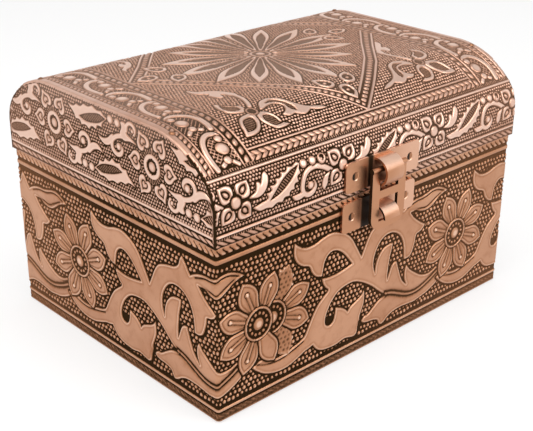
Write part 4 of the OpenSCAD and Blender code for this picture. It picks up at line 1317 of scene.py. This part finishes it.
def velvet_card(name, node, body):
    """A thin upright card in velvet, with soft edges, where the CAD's block is."""
    low, high = box_mm(node)
    size = high - low
    thin = int(np.argmin(size[:2]))
    long = 1 - thin
    piece = slab(name, size[long], size[2], 0, size[thin], velvet, crown=0.15, round_r=0.6,
                 steps=40)
    flat = np.zeros(len(piece.data.vertices) * 3)
    piece.data.vertices.foreach_get("co", flat)
    flat = flat.reshape(-1, 3) / MM
    inward = -1 if (low + high)[thin] > 0 else 1
    turned = np.zeros_like(flat)
    turned[:, long] = flat[:, 0]
    turned[:, 2] = flat[:, 1] + (low + high)[2] / 2
    turned[:, thin] = (low if inward > 0 else high)[thin] + inward * flat[:, 2]
    piece.data.vertices.foreach_set("co", (turned * MM).ravel())
    if (inward > 0) == (thin == 1):
        piece.data.flip_normals()
    piece.data.update()
    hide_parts(node)
    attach(piece, body)


for side in ("front", "back", "left", "right"):
    velvet_card(side + "_wall_velvet", side + "_velvet", "box")

lining_low, lining_high = box_mm("lid_velvet")
board_t = 4.0
lining_inset = cover_t + board_t
lining_t = 0.9
lining_start = lining_low[2] - lid_bottom
lining_s = np.linspace(lining_start, full_section - lining_start, 150)
lining_x = np.linspace(lining_low[0], lining_high[0], 90)


def lining_row(s, inset):
    """One line of the lining across the lid, at s along the lid's section."""
    y, z, ny, nz = lid_path(np.array([s]), inset)
    y = np.where(np.abs(ny) > 0.999, np.sign(y) * (lid_half_y - inset), y)
    z = np.where(nz > 0.999, lid_crown - inset, z)
    return np.stack([lining_x, np.full_like(lining_x, y[0]), np.full_like(lining_x, z[0])], -1)


hairline = 0.02
lining_points = np.stack([lining_row(s, lining_inset + hairline) for s in lining_s]
                         + [lining_row(s, lining_inset + lining_t) for s in lining_s[::-1]])
lid_lining = solid_grid("lid_lining", lining_points, velvet)
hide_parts("lid_velvet")
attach(lid_lining, "lid")


def end_lining(side, name, node):
    """Velvet on the inside of a lid end, cut to the lid's curve."""
    low, high = box_mm(node)
    y = np.linspace(low[1] + hairline, high[1] - hairline, 90)
    top = lid_curve(lining_inset, y) - hairline
    rows = np.linspace(0, 1, 30)[:, None]
    z = low[2] + rows * (top[None, :] - low[2])
    y_grid = np.broadcast_to(y[None, :], z.shape)
    outer, inner = (high[0], low[0]) if side > 0 else (low[0], high[0])
    points = np.concatenate([np.stack([np.full_like(z, inner), y_grid, z], -1),
                             np.stack([np.full_like(z, outer), y_grid, z], -1)[::-1]])
    piece = solid_grid(name, points, velvet)
    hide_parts(node)
    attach(piece, "lid")


end_lining(-1, "left_end_lining", "lid_left_velvet")
end_lining(1, "right_end_lining", "lid_right_velvet")

# ---- Hasp ----
# Two plates of thicker copper are nailed to the lid and the body. The upper one is rolled into
# a hood that carries the loop, and the lower one bends out into a hook that the loop drops
# over. They were polished after they were fitted, so they are brighter than the sheet.
def rubbed_copper(name, copper, brown, polish):
    """Thick copper with no relief, polished all over: its material, tree, surface and colour."""
    material, tree, surface = new_material(name)
    finish = place_effect(tree, tarnish_and_light, Copper=copper, Brown=brown, Bright=copper, Black=brown,
                          Worn=brown, Reach_Low=-2.0, Reach_High=-1.0, Polish=polish)
    give(surface, Base_Color=finish["Color"], Roughness=finish["Roughness"], Metallic=1.0,
         Normal=bumpy(tree, finish["Height"], 0.4, 0.00005), Specular_IOR_Level=0.1)
    return material, tree, surface, finish["Color"]


def paint_shade_black(tree, surface, color, mask):
    """Paints shade into a copper as black, where mask is 1."""
    give(surface, Base_Color=blend(tree, mask, color, (0.018, 0.008, 0.003, 1)),
         Metallic=ramp(tree, mask, 0.0, 1.0, 1.0, 0.0))


hasp_copper, hasp_tree, hasp_surface, hasp_color = rubbed_copper(
    "hasp_copper", (0.66, 0.35, 0.22, 1), (0.5, 0.24, 0.13, 1), polish=0.36)
hasp_x, hasp_y, hasp_z = coordinates(hasp_tree, "Object")
way_x, way_y, way_z = coordinates(hasp_tree, "Normal")
# painted shade: black on the backs and on the left edges of the keeper's hook, and a painted
# shadow on a strip of each plate that the loop stands over, which is wider on the keeper
on_keeper = ramp(hasp_tree, hasp_z, 0.065, 0.064)
shaded_backs = ramp(hasp_tree, way_y, 0.1, 0.4, high=0.9)
on_hook = combine(hasp_tree, "MULTIPLY", ramp(hasp_tree, hasp_x, -0.0188, -0.0182), on_keeper)
shaded_lefts = combine(hasp_tree, "MULTIPLY", ramp(hasp_tree, way_x, -0.5, -0.8), on_hook)
below_loop = combine(hasp_tree, "MULTIPLY", ramp(hasp_tree, hasp_x, -0.0044, -0.0054), on_keeper)
wide_strip = combine(hasp_tree, "MULTIPLY", ramp(hasp_tree, hasp_x, -0.0113, -0.0104), below_loop)
narrow_strip = combine(hasp_tree, "MULTIPLY", ramp(hasp_tree, hasp_x, -0.0099, -0.009),
                       ramp(hasp_tree, hasp_x, -0.0062, -0.0072))
shadow_strips = combine(hasp_tree, "MULTIPLY", ramp(hasp_tree, hasp_y, -0.0622, -0.0614),
                    combine(hasp_tree, "MAXIMUM", wide_strip, narrow_strip))
painted_shade = combine(hasp_tree, "MAXIMUM", shadow_strips,
                 combine(hasp_tree, "MAXIMUM", shaded_backs, shaded_lefts))
# painted highlight on the upper edges and painted reflection on the right ends, which are the
# lightest
painted_highlight = combine(hasp_tree, "MAXIMUM", ramp(hasp_tree, way_z, 0.3, 0.75),
                    ramp(hasp_tree, hasp_x, -0.004, 0.012, high=0.5))
highlit_hasp_color = blend(hasp_tree, painted_highlight, hasp_color, (0.88, 0.57, 0.42, 1))
paint_shade_black(hasp_tree, hasp_surface, highlit_hasp_color, painted_shade)

loop_copper, loop_tree, loop_surface, loop_color = rubbed_copper(
    "loop_copper", (0.7, 0.38, 0.24, 1), (0.5, 0.24, 0.13, 1), polish=0.3)
# painted shade: the loop's left-facing sides are black
paint_shade_black(loop_tree, loop_surface, loop_color,
            ramp(loop_tree, coordinates(loop_tree, "Normal")["X"], -0.6, -0.9))

# painted shade: the heads of the nails, which lie 27.8 mm apart, are black on their left part
nail_copper, nail_tree, nail_surface, nail_color = rubbed_copper(
    "nail_copper", (0.55, 0.29, 0.17, 1), (0.4, 0.18, 0.09, 1), polish=0.4)
nail_x = combine(nail_tree, "WRAP", coordinates(nail_tree, "Object")["X"], -0.0015, -0.0293)
paint_shade_black(nail_tree, nail_surface, nail_color, ramp(nail_tree, nail_x, -0.0151, -0.0158))
dress(hasp_copper, "hasp_plate", "keeper_plate", bevel=0.42)
dress(loop_copper, "hasp_loop", bevel=0.38)
dress(nail_copper, "hasp_nails", "keeper_nails", bevel=0.1)

# ---- Hinges and tacks ----
# Two small copper-plated butt hinges are nailed into the rims behind, each with three knuckles
# on a pin. Four tacks hold the lid's hem.
dress(hasp_copper, "left_hinge_body_leaf", "right_hinge_body_leaf", "left_hinge_lid_leaf",
      "right_hinge_lid_leaf", bevel=0.12)
dull_copper = rubbed_copper("dull_copper", (0.5, 0.27, 0.17, 1), (0.32, 0.15, 0.08, 1),
                            polish=0.42)[0]
dress(dull_copper, "left_hinge_pin", "right_hinge_pin", "hinge_body_nails", "hinge_lid_nails",
      bevel=0.08)
dress(dull_copper, "sheet_tacks")
